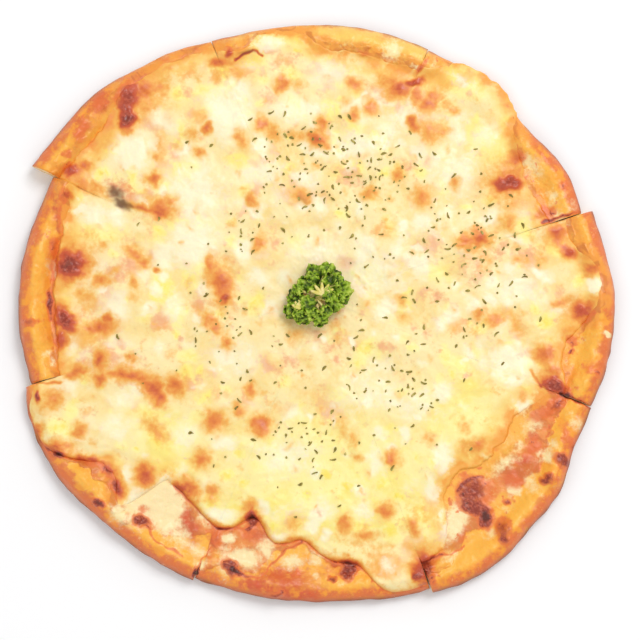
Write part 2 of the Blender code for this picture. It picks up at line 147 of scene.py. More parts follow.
# The cuts, as a bearing, where the cheese begins to part and where it lies open, in millimetres.
CUTS = (
    (18.0, 96, 119), (66.7, 128, 133), (113.1, 130, 137), (155.5, 112, 140), (196.7, 134, 139),
    (245.7, 143, 148), (290.6, 136, 141), (338.0, 126, 131),
)
# How far each side of a cut gives way and sinks, where it is faint and in addition where it lies open.
FAINT_WIDTH = 0.10 * MM
OPEN_WIDTH = 0.22 * MM
FAINT_SINK = 0.45 * MM
OPEN_SINK = 0.35 * MM
OPEN_RUN = 9.0 * MM
PARTING_REACH = 2.5 * MM
CUT_ROUND = 0.55 * MM
SAME_CUT = 0.1
# A point may lie so many degrees before a slice's start and still be told from one behind its end.
SPARE_TURN = 20.0
# Low bubbles in the rim: bearing, distance, radius and rise, in millimetres.
BUBBLES = (
    (218.0, 146.5, 14.0, 3.6), (170.0, 143.0, 11.0, 1.4), (188.0, 144.0, 12.0, 1.6),
    (309.0, 150.0, 11.0, 2.0), (322.0, 146.0, 13.0, 1.8), (8.0, 137.0, 10.0, 1.6),
    (29.0, 132.0, 11.0, 1.6), (237.0, 144.0, 12.0, 1.6), (148.0, 148.0, 11.0, 1.4),
    (78.0, 130.0, 11.0, 1.2),
)

# Herb flakes lie in drifts: x and y off CUT_CENTRE and the spread each way, in metres, and how many fell.
DRIFTS = (
    (-0.004, 0.066, 0.016, 0.017, 62),
    (0.025, 0.058, 0.015, 0.014, 46),
    (0.074, 0.024, 0.015, 0.024, 58),
    (0.040, -0.047, 0.012, 0.011, 26),
    (-0.010, -0.074, 0.013, 0.010, 24),
    (-0.039, 0.029, 0.005, 0.007, 10),
    (-0.043, -0.012, 0.009, 0.012, 14),
    (0.000, 0.000, 0.062, 0.060, 90),
)
FLAKE_SEED = 7
FLAKE_LENGTH = (0.0014, 0.0040)
FLAKES_REACH = 0.112
FLAKE_SPACING = 0.0034
SPRIG_AT = Vector((-0.003, 0.001, 0.0))
SPRIG_CLEAR = 0.019
# Finer bits of herb lie between the flakes.
CRUMB_SEED = 11
CRUMBS_PER_FLAKE = 0.75
CRUMB_LENGTH = (0.0006, 0.0015)
CRUMB_SPREAD = 0.85
BEND_SEED = 21
CHIP_SHORTER = 0.84
CHIP_WIDTH = (0.0007, 0.0012)
CHIP_THICKNESS = 0.3 * MM
CHIP_LIFT = 0.22 * MM

# Leaflets of the parsley, in metres and degrees: x and y off SPRIG_AT, height, radius, how far each leans
# and which way.
LEAFLETS = (
    (0.0085, 0.0095, 0.0048, 0.0064, 24, 60), (0.0, 0.012, 0.0042, 0.0058, 26, 105),
    (0.0135, 0.002, 0.0044, 0.006, 26, 350), (0.0035, 0.004, 0.0052, 0.0062, 12, 80),
    (0.01, -0.0045, 0.006, 0.0054, 22, 320), (-0.005, 0.006, 0.0056, 0.0054, 20, 140),
    (-0.011, -0.001, 0.004, 0.0054, 26, 170), (-0.0125, -0.0085, 0.0038, 0.0052, 26, 215),
    (-0.0045, -0.0055, 0.0064, 0.0054, 14, 220), (-0.006, -0.012, 0.004, 0.0048, 26, 260),
    (0.003, -0.013, 0.0036, 0.0044, 26, 285),
)
SMALL_LEAFLETS = (
    (0.006, 0.0135, 0.0058, 0.0042, 30, 80), (0.0125, 0.007, 0.0062, 0.004, 28, 30),
    (-0.0015, 0.009, 0.0068, 0.004, 20, 110), (0.007, 0.0, 0.0078, 0.004, 16, 340),
    (-0.009, 0.003, 0.006, 0.0038, 24, 150), (-0.0095, -0.005, 0.0064, 0.004, 20, 200),
    (-0.0085, -0.0105, 0.0058, 0.0036, 24, 240), (-0.001, -0.0095, 0.006, 0.0038, 24, 275),
    (0.006, -0.0085, 0.0054, 0.0038, 28, 300), (0.015, -0.0025, 0.0058, 0.0034, 30, 345),
)
LEAFLET_TURN = 47.0
LEAFLET_PHASE = 1.3
LEAF_RINGS = 13
LEAF_SECTORS = 96
LEAF_WAVES = 11
LEAF_THICKNESS = 0.22 * MM
STEM_JOINT = Vector((0.0000, -0.0010, 0.0030))
STALK_END = Vector((-0.0085, -0.0040, 0.0016))
STEM_RADIUS = 0.8 * MM
STEM_TAPER = 0.05
STALK_THICKER = 1.3
STEM_CORNERS = 8
STEM_STEPS = 6
STALK_ARCH = 0.3 * MM
STAR_RADIUS = 0.62 * MM
STAR_FLATNESS = 0.5
STALK_HIDDEN = 1.8 * MM
# Pale stalks that show from above: x, y and height of where they part, their length and their bearings.
STEM_STARS = (
    (0.0036, -0.0004, 0.0078, 0.0062, (28, 58, 92, 128, 160)),
    (-0.0074, -0.0074, 0.0066, 0.0046, (98, 124, 152)),
)

# ---------------------------------------------------------------- fineness of the made surfaces

RINGS_PER_DEGREE = 4.0
NEAR_CUT = np.array((0.0, 0.15, 0.35, 0.65, 1.05)) * MM
NEAR_CUT_OUT = 145.0 * MM
CHEESE_STATIONS = 220
FRONT_STEPS = 160
FRONT_ROUNDING = (-1.2, -0.6, 0.0, 0.6, 1.2)
LIP_STATIONS = 12
LEAST_LIP = 0.1 * MM
LEAST_THICKNESS = 0.2 * MM
LEAST_CREST = 1.0 * MM
UNDER_SHARES = (0.0, 0.25, 0.5, 0.7, 0.8, 0.88, 0.92, 0.95, 0.975, 0.99, 1.0)
CRUST_STATIONS = 56
SIDE_STATIONS = 16
OUTER_STATIONS = 22
FOOT_SHARES = (0.0, 0.3, 0.6, 0.8, 0.9, 0.95, 0.98, 1.0)
HIDDEN_SHARES = (0.8, 0.5, 0.0)
CRUST_UNDER_CHEESE = 5.0 * MM
BARE_FADE = 1.2 * MM
UPPER_FADE = 0.3
FOOT_FADE = 0.2
SIDE_FROM = 5.0 * MM
SIDE_FADE = 4.0 * MM
DEEPEST_CUT = 0.9 * MM
PAST_RIM_WIDTH = 2.0 * MM
CRUMB_FACE_CORNERS = 20
LAYER_GAP = 0.12 * MM
SLICE_GAP = 0.02 * MM
WELD = 2e-6

# ---------------------------------------------------------------- browning, read off the photograph

# Brown places, in millimetres: x, y, half length, half width, turn in degrees and strength. About 0.35
# is a golden haze, 0.5 an orange blister, 0.7 a rust-red one and 1 a dark one.
BROWN_PLACES = (
    # upper left
    (-94.7, 108.5, 6.8, 5.6, 60, 1.0), (-95.5, 102.5, 4.4, 3.8, 70, 0.96), (-88, 112, 8, 5, 30, 0.66),
    (-95.3, 97.1, 5.0, 4.0, 80, 1.16), (-86, 104, 7, 6, 20, 0.42), (-80, 113, 6, 3.4, 35, 0.5),
    (-77, 110, 3.4, 3, 0, 0.4), (-108.7, 106, 6, 4, 45, 0.58), (-107.4, 88.4, 5, 5, 0, 0.36),
    (-118, 91, 6, 3, 70, 0.6), (-125.5, 79, 2.6, 2.2, 0, 0.72), (-123.5, 71, 4.2, 3.2, 20, 0.95),
    (-117, 73.5, 4, 3, 20, 0.66), (-115, 64, 8, 3, 156, 0.52), (-88, 52.3, 6, 2.4, 160, 0.52),
    (-78.6, 51.6, 6, 4, 160, 0.68), (-74.6, 56.3, 3.4, 2.4, 30, 0.48), (-81.3, 67, 2.8, 3, 0, 0.64),
    (-78.6, 84, 3.4, 9, 0, 0.33), (-81, 79, 3, 3, 0, 0.42), (-51, 119.2, 2.4, 3.2, 0, 0.4),
    (-49, 126, 5.6, 2.4, 0, 0.68), (-44, 130.5, 2.4, 1.6, 30, 0.85), (-66.5, 129, 5.4, 2.6, 10, 0.48),
    (-76, 123, 7, 3, 30, 0.38), (-58.5, 99, 4, 4, 0, 0.32), (-55, 93, 2.4, 2.6, 0, 0.64),
    (-62.5, 89, 4, 3, 0, 0.38), (-59, 80.4, 3.4, 2.6, 160, 0.46), (-74.6, 98.4, 4, 5, 0, 0.22),
    (-40.5, 121, 6, 3, 0, 0.38),
    # left
    (-126, 58.3, 2.8, 2.6, 0, 0.82), (-128.8, 50, 1.4, 8, 0, 0.56), (-123.5, 23.6, 6.8, 6.4, 60, 1.16),
    (-123, 24, 11, 9.5, 40, 0.56), (-132, 33, 2.2, 4, 0, 0.78), (-132.8, 20, 1.3, 10, 0, 0.54),
    (-133.5, 4.8, 1.6, 5, 0, 0.85), (-126, -3.9, 6.6, 4.2, 128, 1.08), (-128, -13.9, 5.4, 3, 80, 0.84),
    (-143.5, -5.2, 4.4, 1.8, 0, 0.82), (-108.7, -7.9, 8, 3.4, 10, 0.66), (-104, -3, 2.4, 3, 0, 0.68),
    (-118.8, -11, 7, 5, 0, 0.36), (-108, -24.6, 3, 5, 0, 0.7), (-119.5, -30, 7, 2.8, 20, 0.62),
    (-108.7, -34, 3.8, 3.2, 0, 0.58), (-91.3, -32, 12, 3.4, 172, 0.54), (-81.3, -38, 5.2, 5, 140, 0.66),
    (-78, -43.4, 3, 4, 0, 0.58), (-70.5, -36.7, 4.6, 4.6, 0, 0.66), (-93.4, -23.3, 3.4, 3.2, 0, 0.48),
    (-91.3, 29.6, 6, 2.6, 150, 0.58), (-86.6, 25, 3.2, 3, 0, 0.54), (-80, 21, 1.6, 1.6, 0, 0.55),
    (-108, 16.2, 4.4, 3.2, 20, 0.56), (-101, 21, 4, 1.8, 40, 0.38), (-116, 8, 4.6, 7, 20, 0.38),
    (-92, 14, 2.6, 5.4, 0, 0.48), (-91, 7.5, 2.6, 2.6, 0, 0.38), (-106.7, 33.6, 3.4, 2.6, 0, 0.38),
    # lower left
    (-132, -44, 7.5, 4.4, 49, 0.48), (-139.5, -42, 1.2, 3, 0, 1.08), (-118, -59.4, 3.6, 4.2, 0, 0.5),
    (-80, -59.4, 8, 3.4, 135, 0.42), (-138, -58, 3, 3.6, 0, 0.46), (-127.5, -66.8, 7, 2.6, 0, 0.57),
    (-128.5, -70.8, 2.2, 1.8, 0, 1.05), (-112, -75, 5, 2.6, 160, 0.66), (-104, -79, 4.4, 3.2, 140, 0.8),
    (-99.5, -88, 3, 4.6, 20, 0.92), (-108, -95.5, 3.2, 1.9, 160, 1.28), (-87.3, -104, 4, 2.8, 170, 1.15),
    (-87, -99.5, 4, 3, 0, 0.52), (-85.3, -82, 4.4, 5.4, 0, 0.76), (-64.5, -87.5, 6.4, 4, 160, 0.62),
    (-52.5, -90, 3.2, 3.8, 0, 0.48), (-49, -113.6, 2.4, 5, 10, 0.74), (-60, -130, 1.1, 2.8, 0, 1.25),
    (-43, -127.7, 4.6, 2.6, 135, 1.15),
    # bottom
    (-51, -54.8, 5, 5, 0, 0.62), (-38.9, -48.7, 3.4, 3.4, 0, 0.48), (-27.5, -56.4, 4.8, 4.8, 0, 0.66),
    (-17, -48, 8, 3.6, 20, 0.26), (-57, -73.5, 4.6, 4.6, 0, 0.56), (-32, -103, 2.6, 3.2, 0, 1.0),
    (-32.8, -97.5, 4.4, 3.6, 0, 0.48), (-33.5, -109.6, 3, 3.4, 0, 0.8), (-20, -140.4, 4, 1.9, 10, 0.9),
    (-10, -131, 2.2, 2.2, 0, 0.64), (15.4, -129.7, 3.9, 3.9, 0, 1.18), (7.4, -133, 1.9, 1.7, 0, 1.0),
    (14, -106, 3.4, 4.4, 0, 0.5), (24, -111.6, 6, 2.6, 10, 0.48), (34, -99, 4, 3.6, 0, 0.54),
    (37.5, -73.5, 3.6, 4, 0, 0.62), (20.8, -72.8, 2.6, 2.8, 0, 0.42), (18, -63.4, 3, 4.4, 0, 0.38),
    (-11.4, -106, 3.6, 5, 0, 0.36), (19.4, -139, 4, 2, 0, 0.52), (48, -107.6, 3.4, 4.4, 0, 0.54),
    # lower right
    (78, -89.6, 7.6, 7.2, 0, 1.02), (77, -96.3, 6.8, 4.2, 150, 1.14), (84, -102, 3.9, 4.8, 30, 1.36),
    (93, -109, 3.8, 6, 10, 0.88), (93.6, -113.4, 3, 2.6, 0, 1.04), (115, -83.6, 2.9, 2.2, 10, 1.06),
    (123, -74, 4.4, 3, 140, 1.08), (129.8, -68, 3, 4.4, 30, 0.85), (119.7, -37.4, 7.2, 3.3, 150, 1.08),
    (119, -46.7, 8.5, 3, 40, 0.82), (110, -52, 6, 3, 25, 0.64), (108.4, -66.8, 4.8, 4, 0, 0.7),
    (115, -59, 2, 1.8, 0, 0.56), (123.8, -60.8, 2.4, 6, 0, 0.64), (98.3, -84, 7, 6, 0, 0.46),
    (94.5, -94.5, 1.8, 1.6, 0, 0.92), (81, -66, 4.6, 3.6, 0, 0.56), (75.5, -68, 6.4, 4.6, 15, 0.42),
    (56, -63.5, 3.4, 3.2, 0, 0.4), (73.5, -58, 3.6, 3, 0, 0.4), (103, -42, 3, 3.4, 0, 0.36),
    (53.5, -127.7, 5.2, 7.6, 0, 1.0), (50, -131, 2.6, 2.6, 0, 1.12), (72.8, -113.7, 2.6, 2.4, 0, 0.58),
    # right
    (81.5, 36.6, 4.6, 4.4, 30, 0.74), (74.8, 35.3, 4.6, 3.6, 0, 0.62), (84.8, 24.5, 3.4, 6, 0, 0.32),
    (101, 26, 3.6, 2.2, 0, 0.48), (112.3, 26, 2.6, 4, 0, 0.38), (121, 39.3, 5, 5, 0, 0.7),
    (126.4, 30, 4.4, 2.6, 150, 0.84), (136.8, 21.5, 3.8, 3, 0, 0.64), (132.4, 0, 5.6, 4.4, 30, 0.88),
    (122.4, 5, 6, 2.6, 20, 0.5), (127.7, -14.3, 3, 2.6, 0, 0.76), (127.7, -19.5, 1.2, 1.2, 0, 0.92),
    (114.3, -21.6, 5, 5, 0, 0.66), (118.5, -30, 4, 4, 0, 0.56), (89, -4.2, 4.4, 3.2, 30, 0.56),
    (81.5, -0.9, 3.6, 3, 0, 0.46), (100.3, -7.6, 5.4, 3.4, 130, 0.36), (70, -7.6, 4, 3.4, 0, 0.3),
    (136.4, -28.5, 3.8, 4.2, 0, 0.6), (141, -30, 1.8, 1.6, 0, 0.86), (127, -25, 4, 12, 0, 0.32),
    # top
    (-17.5, 114.9, 3.6, 3.4, 0, 0.58), (-9, 115, 3, 3, 0, 0.38), (-17, 127, 5, 3, 0, 0.24),
    (19, 115.2, 3.8, 3.2, 140, 0.56), (15, 106.5, 2.6, 2.6, 0, 0.32), (19, 99.5, 3.2, 3, 0, 0.5),
    (27, 103, 3.8, 4, 0, 0.5), (23.7, 130.6, 6, 2.6, 170, 0.52), (41.8, 112.5, 6, 4, 10, 0.74),
    (49, 115.9, 5, 1.9, 10, 0.92), (36, 116, 6, 4, 0, 0.52), (51.8, 123, 4.4, 1.8, 63, 0.7),
    (50.5, 109.8, 2.2, 5, 0, 0.64), (55.9, 104.5, 4.4, 3.8, 0, 0.64), (48.5, 95, 2.6, 3.8, 20, 0.7),
    (57, 90.5, 5.4, 5.4, 0, 0.48), (0.3, 87, 4.6, 3.4, 150, 0.72), (2.3, 93.8, 2.6, 5, 0, 0.54),
    (-9, 89, 5, 4, 0, 0.38), (-21.8, 91, 3, 5.6, 20, 0.46), (-27.9, 95, 3.2, 3.2, 0, 0.56),
    (-37.9, 86.4, 3, 5, 20, 0.52), (-32.5, 56.3, 4.4, 2.4, 130, 0.5), (-8.4, 58.3, 4.4, 3.6, 0, 0.5),
    (25.7, 59.6, 4.6, 2.8, 20, 0.46), (41, 69, 3.2, 4, 0, 0.5), (53.2, 58.3, 4.4, 4.6, 0, 0.56),
    (0.3, 73.7, 2.6, 2, 0, 0.4),
    # upper right
    (60, 122, 8, 8, 0, 0.3), (59.4, 109, 4, 3.4, 0, 0.62), (65, 104, 4, 3, 0, 0.44),
    (69.5, 101.8, 3.2, 2.6, 0, 0.46), (62, 91.8, 6, 4, 0, 0.42), (97, 104.5, 3, 3.6, 0, 0.44),
    (100.3, 77.8, 4.4, 4.4, 0, 0.72), (97, 65, 7.6, 4, 10, 1.0), (97, 66, 12, 9, 20, 0.54),
    (99.6, 55.7, 8, 5, 0, 0.38), (115.7, 49.6, 4.4, 4, 0, 0.74), (95.6, 45.6, 4, 4, 0, 0.5),
    (124.4, 63.7, 3.8, 4.2, 0, 0.52), (69.5, 64.4, 2.6, 3.2, 0, 0.46),
    # middle
    (-47.8, 14, 5, 9.5, 10, 0.68), (-46, 7.5, 2.8, 3.4, 0, 0.82), (-53.8, 23.6, 2.4, 6, 0, 0.58),
    (-52.5, -5.9, 7, 3.2, 130, 0.52), (-45, -15.3, 2.6, 5, 0, 0.52), (-29, 34.5, 3.4, 4.6, 160, 0.5),
    (-33, -39, 2.8, 3.6, 0, 0.6), (-37, 0, 2.4, 2.4, 0, 0.34), (-23, 0, 3, 3, 0, 0.3),
    (42, 6, 3, 3, 0, 0.4), (44, -3, 3, 3, 0, 0.36), (-11, -11.5, 4.5, 4, 0, 0.36),
    (9, -6.5, 6, 3, 20, 0.3), (14, -58, 3, 8, 20, 0.34), (0, -42, 16, 8, 160, 0.2),
)

# Sauce that shows through or past the cheese, in the same numbers.
SAUCE_PLACES = (
    (-45, -125, 14, 6, 160, 0.6), (-31.5, -135, 6, 3, 0, 1.0), (-14.7, -134.4, 18, 9, 170, 0.85),
    (-8, -126, 10, 6, 20, 0.55), (-64.5, -106, 5, 10, 10, 1.0), (-70, -92, 5, 6, 40, 0.6),
    (-30, -112, 9, 4, 170, 0.65), (-50, -115, 4, 7, 10, 0.8), (9, -127, 8, 5, 0, 0.6),
    (2, -131, 8, 8, 0, 0.45), (78, -89, 8, 8, 0, 0.75), (103, -73.5, 6, 4, 20, 0.8),
    (98, -83, 8, 7, 30, 0.7), (108, -66, 6, 5, 0, 0.7), (112, -50, 11, 4, 30, 0.75),
    (120, -45, 6, 3, 40, 0.8), (70, -110, 9, 6, 30, 0.4), (41, 114, 11, 6, 5, 0.85),
    (54, 106, 8, 7, 30, 0.6), (57, 91, 7, 7, 0, 0.5), (62, 92, 8, 5, 0, 0.35), (-88, 112, 10, 7, 40, 0.9),
    (-109, 104, 8, 4.6, 45, 0.85), (-117, 91, 5, 9, 160, 0.75), (-105, 96, 8, 7, 0, 0.4),
    (-108, 92, 24, 5, 43, 0.6), (-119, 72, 7, 5, 20, 0.7), (-112, 64, 9, 3.4, 156, 0.5),
    (-98, 62, 10, 6, 160, 0.4), (-78.6, 52, 8, 6, 160, 0.7), (-130, 50, 3, 12, 0, 0.6),
    (-132.5, 26, 2.6, 12, 0, 0.6), (-123, 24, 9, 8, 0, 0.65), (-126, -5, 7, 10, 120, 0.7),
    (-107, -8, 9, 5, 175, 0.65), (-112, -27, 11, 6, 165, 0.55), (-88, -34, 13, 5, 170, 0.65),
    (-70.5, -36.7, 4, 4, 0, 0.5), (-48, 12, 6, 10, 0, 0.6), (-54, 22, 3, 6, 0, 0.4),
    (-104, 19, 9, 4, 30, 0.45), (-89, 28, 7, 3.4, 150, 0.45), (97, 66, 9, 8, 20, 0.7),
    (100, 56, 9, 7, 0, 0.5), (120, 41, 7, 6, 0, 0.8), (115, 49, 5, 4, 0, 0.7), (80, 36, 8, 5, 20, 0.55),
    (85, 24, 5, 8, 0, 0.45), (114, -21, 6, 6, 0, 0.6), (126, 30, 5, 4, 150, 0.5), (132, 0, 6, 5, 0, 0.45),
    (126, -14, 4, 5, 0, 0.5), (118, -33, 8, 6, 140, 0.6), (53, -128, 6, 8, 0, 0.35),
    (-51, 119, 3, 4, 0, 0.7), (-47, 127, 7, 4, 0, 0.55), (3, 90, 5, 7, 0, 0.45),
    (53.2, 58.3, 6, 6, 0, 0.6), (-126, -70, 10, 5, 160, 0.55), (-104, -78, 8, 4, 150, 0.6),
    (-98, -87, 3, 6, 10, 0.5), (30, -139, 8, 3, 0, 0.45), (-85, -83, 4, 5, 0, 0.35),
)

# Blush, where the cheese is only tinted by what is under it, gold, where it took a warm colour, and lemon,
# where it is buttery.
BLUSH_PLACES = (
    (-105, 97, 9, 7, 30, 1.0), (-107, 88, 8, 7, 0, 0.6), (-78, 75, 8, 14, 0, 0.6),
    (-60, 100, 8, 12, 150, 0.4), (-17, 127, 9, 6, 0, 0.7), (0, 122, 6, 5, 0, 0.7),
    (-5, 92, 18, 9, 0, 0.55), (22, 81, 12, 5, 20, 0.55), (-8, 60, 16, 12, 0, 0.75),
    (54, 96, 12, 14, 0, 0.7), (48, 76, 10, 10, 0, 0.5), (84, 60, 10, 12, 0, 0.4),
    (80, 22, 10, 14, 0, 0.7), (105, 28, 10, 8, 0, 0.8), (-50, 20, 12, 20, 0, 0.6),
    (-95, 22, 16, 8, 20, 0.9), (-104, 8, 7, 12, 150, 0.8), (-100, -24, 20, 9, 170, 0.9),
    (-80, -42, 10, 8, 140, 0.6), (-60, -90, 12, 6, 140, 0.4), (-72, -108, 7, 7, 0, 0.7),
    (5, -14, 16, 8, 0, 0.6), (-20, 4, 14, 8, 0, 0.4), (100, -76, 10, 9, 0, 0.6),
    (69.5, -109, 9, 7, 20, 1.0), (104, -50, 8, 6, 40, 0.7), (-45, -14, 10, 10, 0, 0.5),
    (110, 8, 10, 8, 0, 0.5), (0, 30, 14, 10, 0, 0.4), (-95, 58, 14, 7, 150, 0.9),
    (6, -50, 7, 14, 20, 0.7), (14, -62, 5, 12, 20, 0.5), (-40, 105, 12, 8, 0, 0.25),
    (100, -10, 6, 8, 0, 0.6), (-45, 75, 8, 8, 0, 0.3), (30, 44, 12, 6, 0, 0.3), (-20, -44, 12, 8, 0, 0.4),
    (-84, 40, 7, 9, 0, 0.4), (60, 40, 8, 8, 0, 0.3),
)
GOLD_PLACES = (
    (78, -80, 16, 5, 20, 1.0), (67, -90, 5, 12, 160, 1.0), (100, -60, 6, 14, 145, 1.0),
    (92, -96, 8, 5, 40, 0.8), (100, -100, 20, 5, 50, 0.7), (66, -124, 16, 4, 22, 0.9),
    (12, -134, 22, 4, 2, 0.6), (-50, -122, 5, 6, 0, 0.7), (-104, 93, 28, 8, 43, 0.85),
    (-124, 74, 9, 6, 60, 0.7), (-66, 122, 20, 6, 20, 0.6), (-84, 107, 9, 10, 30, 0.8),
    (-79, 118, 10, 4, 32, 0.7), (-66, 128, 9, 4, 15, 0.6), (-78, 84, 4, 11, 0, 0.7),
    (-74, 98, 5, 7, 0, 0.4), (-58, 98, 5, 5, 0, 0.6), (-59, 80, 5, 4, 0, 0.5),
    (-117, 64, 10, 5, 156, 0.7), (-113, 25, 6, 12, 0, 0.6), (-116, 8, 6, 9, 20, 0.8),
    (-118, -12, 9, 6, 0, 0.9), (-108, 33, 7, 4, 0, 0.6), (-94, -24, 7, 4, 0, 0.5),
    (-96, -30, 15, 5, 172, 0.5), (-132, -46, 7, 9, 30, 0.6), (-118, -60, 6, 6, 0, 0.5),
    (-124, -72, 6, 4, 160, 0.5), (-88, -92, 9, 5, 0, 0.6), (-72, -86, 14, 5, 150, 0.6),
    (-80, -58, 11, 6, 135, 0.6), (-33, -96, 6, 6, 0, 0.7), (-45, -101, 12, 3, 170, 0.4),
    (-12, -106, 8, 8, 0, 0.6), (5, -112, 14, 4, 170, 0.5), (26, -117, 16, 4, 170, 0.6),
    (34, -126, 10, 8, 0, 1.0), (46, -118, 10, 6, 30, 0.8), (48, -104, 6, 8, 0, 0.6),
    (62, -92, 7, 14, 150, 0.9), (68, -78, 12, 6, 35, 0.8), (84, -74, 14, 5, 15, 0.8),
    (98, -64, 8, 10, 30, 0.7), (106, -50, 8, 8, 45, 0.6), (102, -40, 5, 8, 0, 0.4),
    (76, -68, 9, 6, 20, 0.5), (24, -108, 9, 5, 0, 0.4), (126, -10, 7, 14, 0, 0.8),
    (117, -24, 8, 9, 0, 0.7), (130, 12, 9, 6, 0, 0.5), (124, 36, 8, 8, 0, 0.7), (112, 44, 9, 6, 30, 0.6),
    (100, 68, 10, 12, 0, 0.8), (104, 84, 6, 8, 0, 0.6), (97, 104, 6, 6, 0, 0.5),
    (82, 108, 10, 6, 0, 0.45), (60, 118, 8, 9, 0, 0.9), (54, 110, 10, 8, 0, 0.6),
    (36, 122, 14, 6, 170, 0.7), (22, 130, 10, 5, 170, 0.7), (8, 132, 8, 4, 0, 0.5),
    (-42, 122, 9, 5, 0, 0.6), (-22, 92, 6, 8, 20, 0.6), (-9, 115, 5, 5, 0, 0.4), (16, 104, 6, 6, 0, 0.4),
    (1, 80, 6, 8, 0, 0.3), (26, 60, 7, 5, 20, 0.5), (82, -2, 9, 6, 20, 0.5), (70, -8, 6, 5, 0, 0.4),
    (86, 38, 8, 5, 20, 0.6), (97, 42, 6, 5, 0, 0.4), (-43, -14, 5, 9, 0, 0.4), (-50, -4, 7, 6, 130, 0.4),
    (62, 98, 9, 7, 0, 0.5), (112, 0, 14, 10, 0, 0.35),
)
LEMON_PLACES = (
    (8, 139, 28, 6, 178, 1.2), (46, 131, 16, 6, 158, 1.2), (70, 119, 12, 6, 145, 1.0),
    (-32, 138, 16, 5, 8, 0.9), (-77, 12.5, 4, 6, 20, 1.0), (-80, 8, 3, 4, 0, 0.6),
    (4, -81.5, 3, 2.6, 0, 1.2), (15.4, -87.5, 3, 2.6, 0, 1.2), (41, -91.5, 3, 3, 0, 0.9),
    (37, -109, 5, 5, 0, 0.9), (-39.5, -70.8, 3, 2.6, 0, 0.9), (-45, -81.5, 2.6, 2.4, 0, 0.8),
    (-36, -85.5, 3, 2.4, 0, 0.8), (52, 72, 3, 4, 0, 0.5), (9, -12, 4, 3, 0, 0.5), (60, 20, 5, 4, 0, 0.5),
    (10, -84, 62, 36, 0, 0.42), (-40, -98, 14, 2.6, 10, 0.9), (-74, -64, 24, 16, 150, 0.42),
    (-128, -58, 6, 4, 0, 0.8), (74, -56, 24, 28, 30, 0.42), (50, -104, 16, 7, 20, 0.7),
    (6, -104, 30, 4, 170, 0.7), (-92.7, 69, 2.2, 4, 0, 0.9), (-100, 82.3, 2.6, 2.6, 0, 0.8),
    (-110, 40, 12, 6, 0, 0.5), (60, 105, 14, 10, 140, 0.3), (-14, 138, 5, 5, 0, 0.7),
    (88, 84, 10, 6, 0, 0.5), (80, 90, 5, 5, 0, 0.6), (115, -4.2, 3.6, 3.2, 0, 0.9),
    (104, -26, 4, 4, 0, 0.4), (70, -26, 6, 5, 0, 0.5), (104, -60, 4, 4, 0, 0.5), (88, -60, 5, 5, 0, 0.5),
    (-76, -78, 8, 3, 0, 0.6),
)

# Milk-white cheese, in the same numbers: thick domes and thin pale patches of film.
MILK_PLACES = (
    (-83, -94, 13, 8, 38, 1.5), (-76, -90, 6, 7, 40, 1.3), (-72, -98, 6, 8, 150, 1.2),
    (70, -103, 5, 12, 155, 1.2), (94, -76, 8, 4, 35, 0.7), (108, -56, 5, 8, 150, 0.7),
    (-76, -101, 8, 10, 20, 1.2), (-88, -92, 8, 7, 40, 0.8), (-84, -84, 7, 5, 0, 0.6),
    (-97.4, -101, 6, 6, 0, 0.9), (98.3, -89, 4, 3, 0, 0.9), (130.5, -57, 4, 8, 30, 0.6),
    (-12.7, -124.4, 7, 4.5, 0, 0.9), (-92.7, 80.4, 9, 9, 0, 1.1), (-101, 1, 7, 9, 0, 0.9),
    (-62, 60, 14, 18, 0, 0.8), (-20, 60, 12, 16, 0, 0.4), (0, 30, 14, 10, 0, 0.6),
    (30, 20, 16, 12, 0, 0.7), (-40, -24, 14, 10, 0, 0.6), (30, -40, 16, 10, 0, 0.5),
    (60, 45, 12, 10, 0, 0.5), (-62, 34, 12, 12, 0, 0.9), (6, 120, 9, 7, 0, 0.7),
    (139, 13.2, 3.4, 4.4, 0, 1.1), (116, 4, 8, 3.4, 0, 0.6), (145.8, -11, 1.6, 1.6, 0, 1.6),
    (-100, -58, 10, 7, 0, 0.6), (-50, -102, 9, 4, 10, 1.0), (-15, -100, 12, 6, 0, 0.5),
    (66, 100, 12, 8, 140, 0.3), (70, 70, 10, 12, 0, 0.8), (-45, 100, 12, 14, 0, 0.9),
    (15, -45, 12, 9, 0, 0.5), (20, 84, 16, 7, 0, 0.8), (84, 88, 8, 7, 30, 0.6), (-10, 102, 14, 6, 0, 0.8),
    (36, 92, 8, 8, 0, 0.7), (-30, 70, 14, 7, 0, 0.7), (96, -24, 12, 8, 0, 0.9), (100, 12, 12, 8, 0, 0.8),
    (-96, -44, 10, 5, 0, 0.6), (-76, 28, 6, 8, 0, 0.9), (-110, 48, 8, 6, 0, 0.8),
    (-14, -72, 16, 10, 0, 0.7), (-66, -62, 8, 8, 0, 0.6), (50, -48, 14, 8, 0, 0.6),
    (103, -46, 6, 5, 30, 0.8), (-37, -122.5, 10, 4.5, 170, 1.2), (-25, -118.5, 4, 5, 40, 1.0),
    (-20, -113, 9, 2.6, 10, 0.8), (-68, -112, 6, 7, 30, 0.8), (-60, -119, 7, 4, 150, 0.7),
    (-57, -126, 4, 3, 0, 0.9), (0, -123, 5, 4, 0, 0.7), (107, -86, 4, 6, 30, 0.7),
    (86, -110, 5, 4, 30, 0.6), (118, -66, 3, 4, 0, 0.6), (66, -122, 6, 3, 20, 0.6),
    (90, 12, 8, 5, 0, 0.6), (-34, 124, 9, 4, 0, 0.4), (-25, 136, 9, 4, 0, 0.8), (74, 116, 9, 4, 150, 0.6),
)
BURNT_PLACES = (
    (-100.7, 59.6, 4.4, 3.2, 150, 1.0), (-97.4, 54.6, 5.6, 2.2, 155, 1.1), (-34, 131, 5.0, 1.0, 0, 0.7),
    (-8.0, 57, 3.0, 2.2, 130, 0.5), (-133.5, 2, 1.4, 3.4, 0, 0.6), (-45, 7, 2.0, 3.0, 0, 0.45),
)
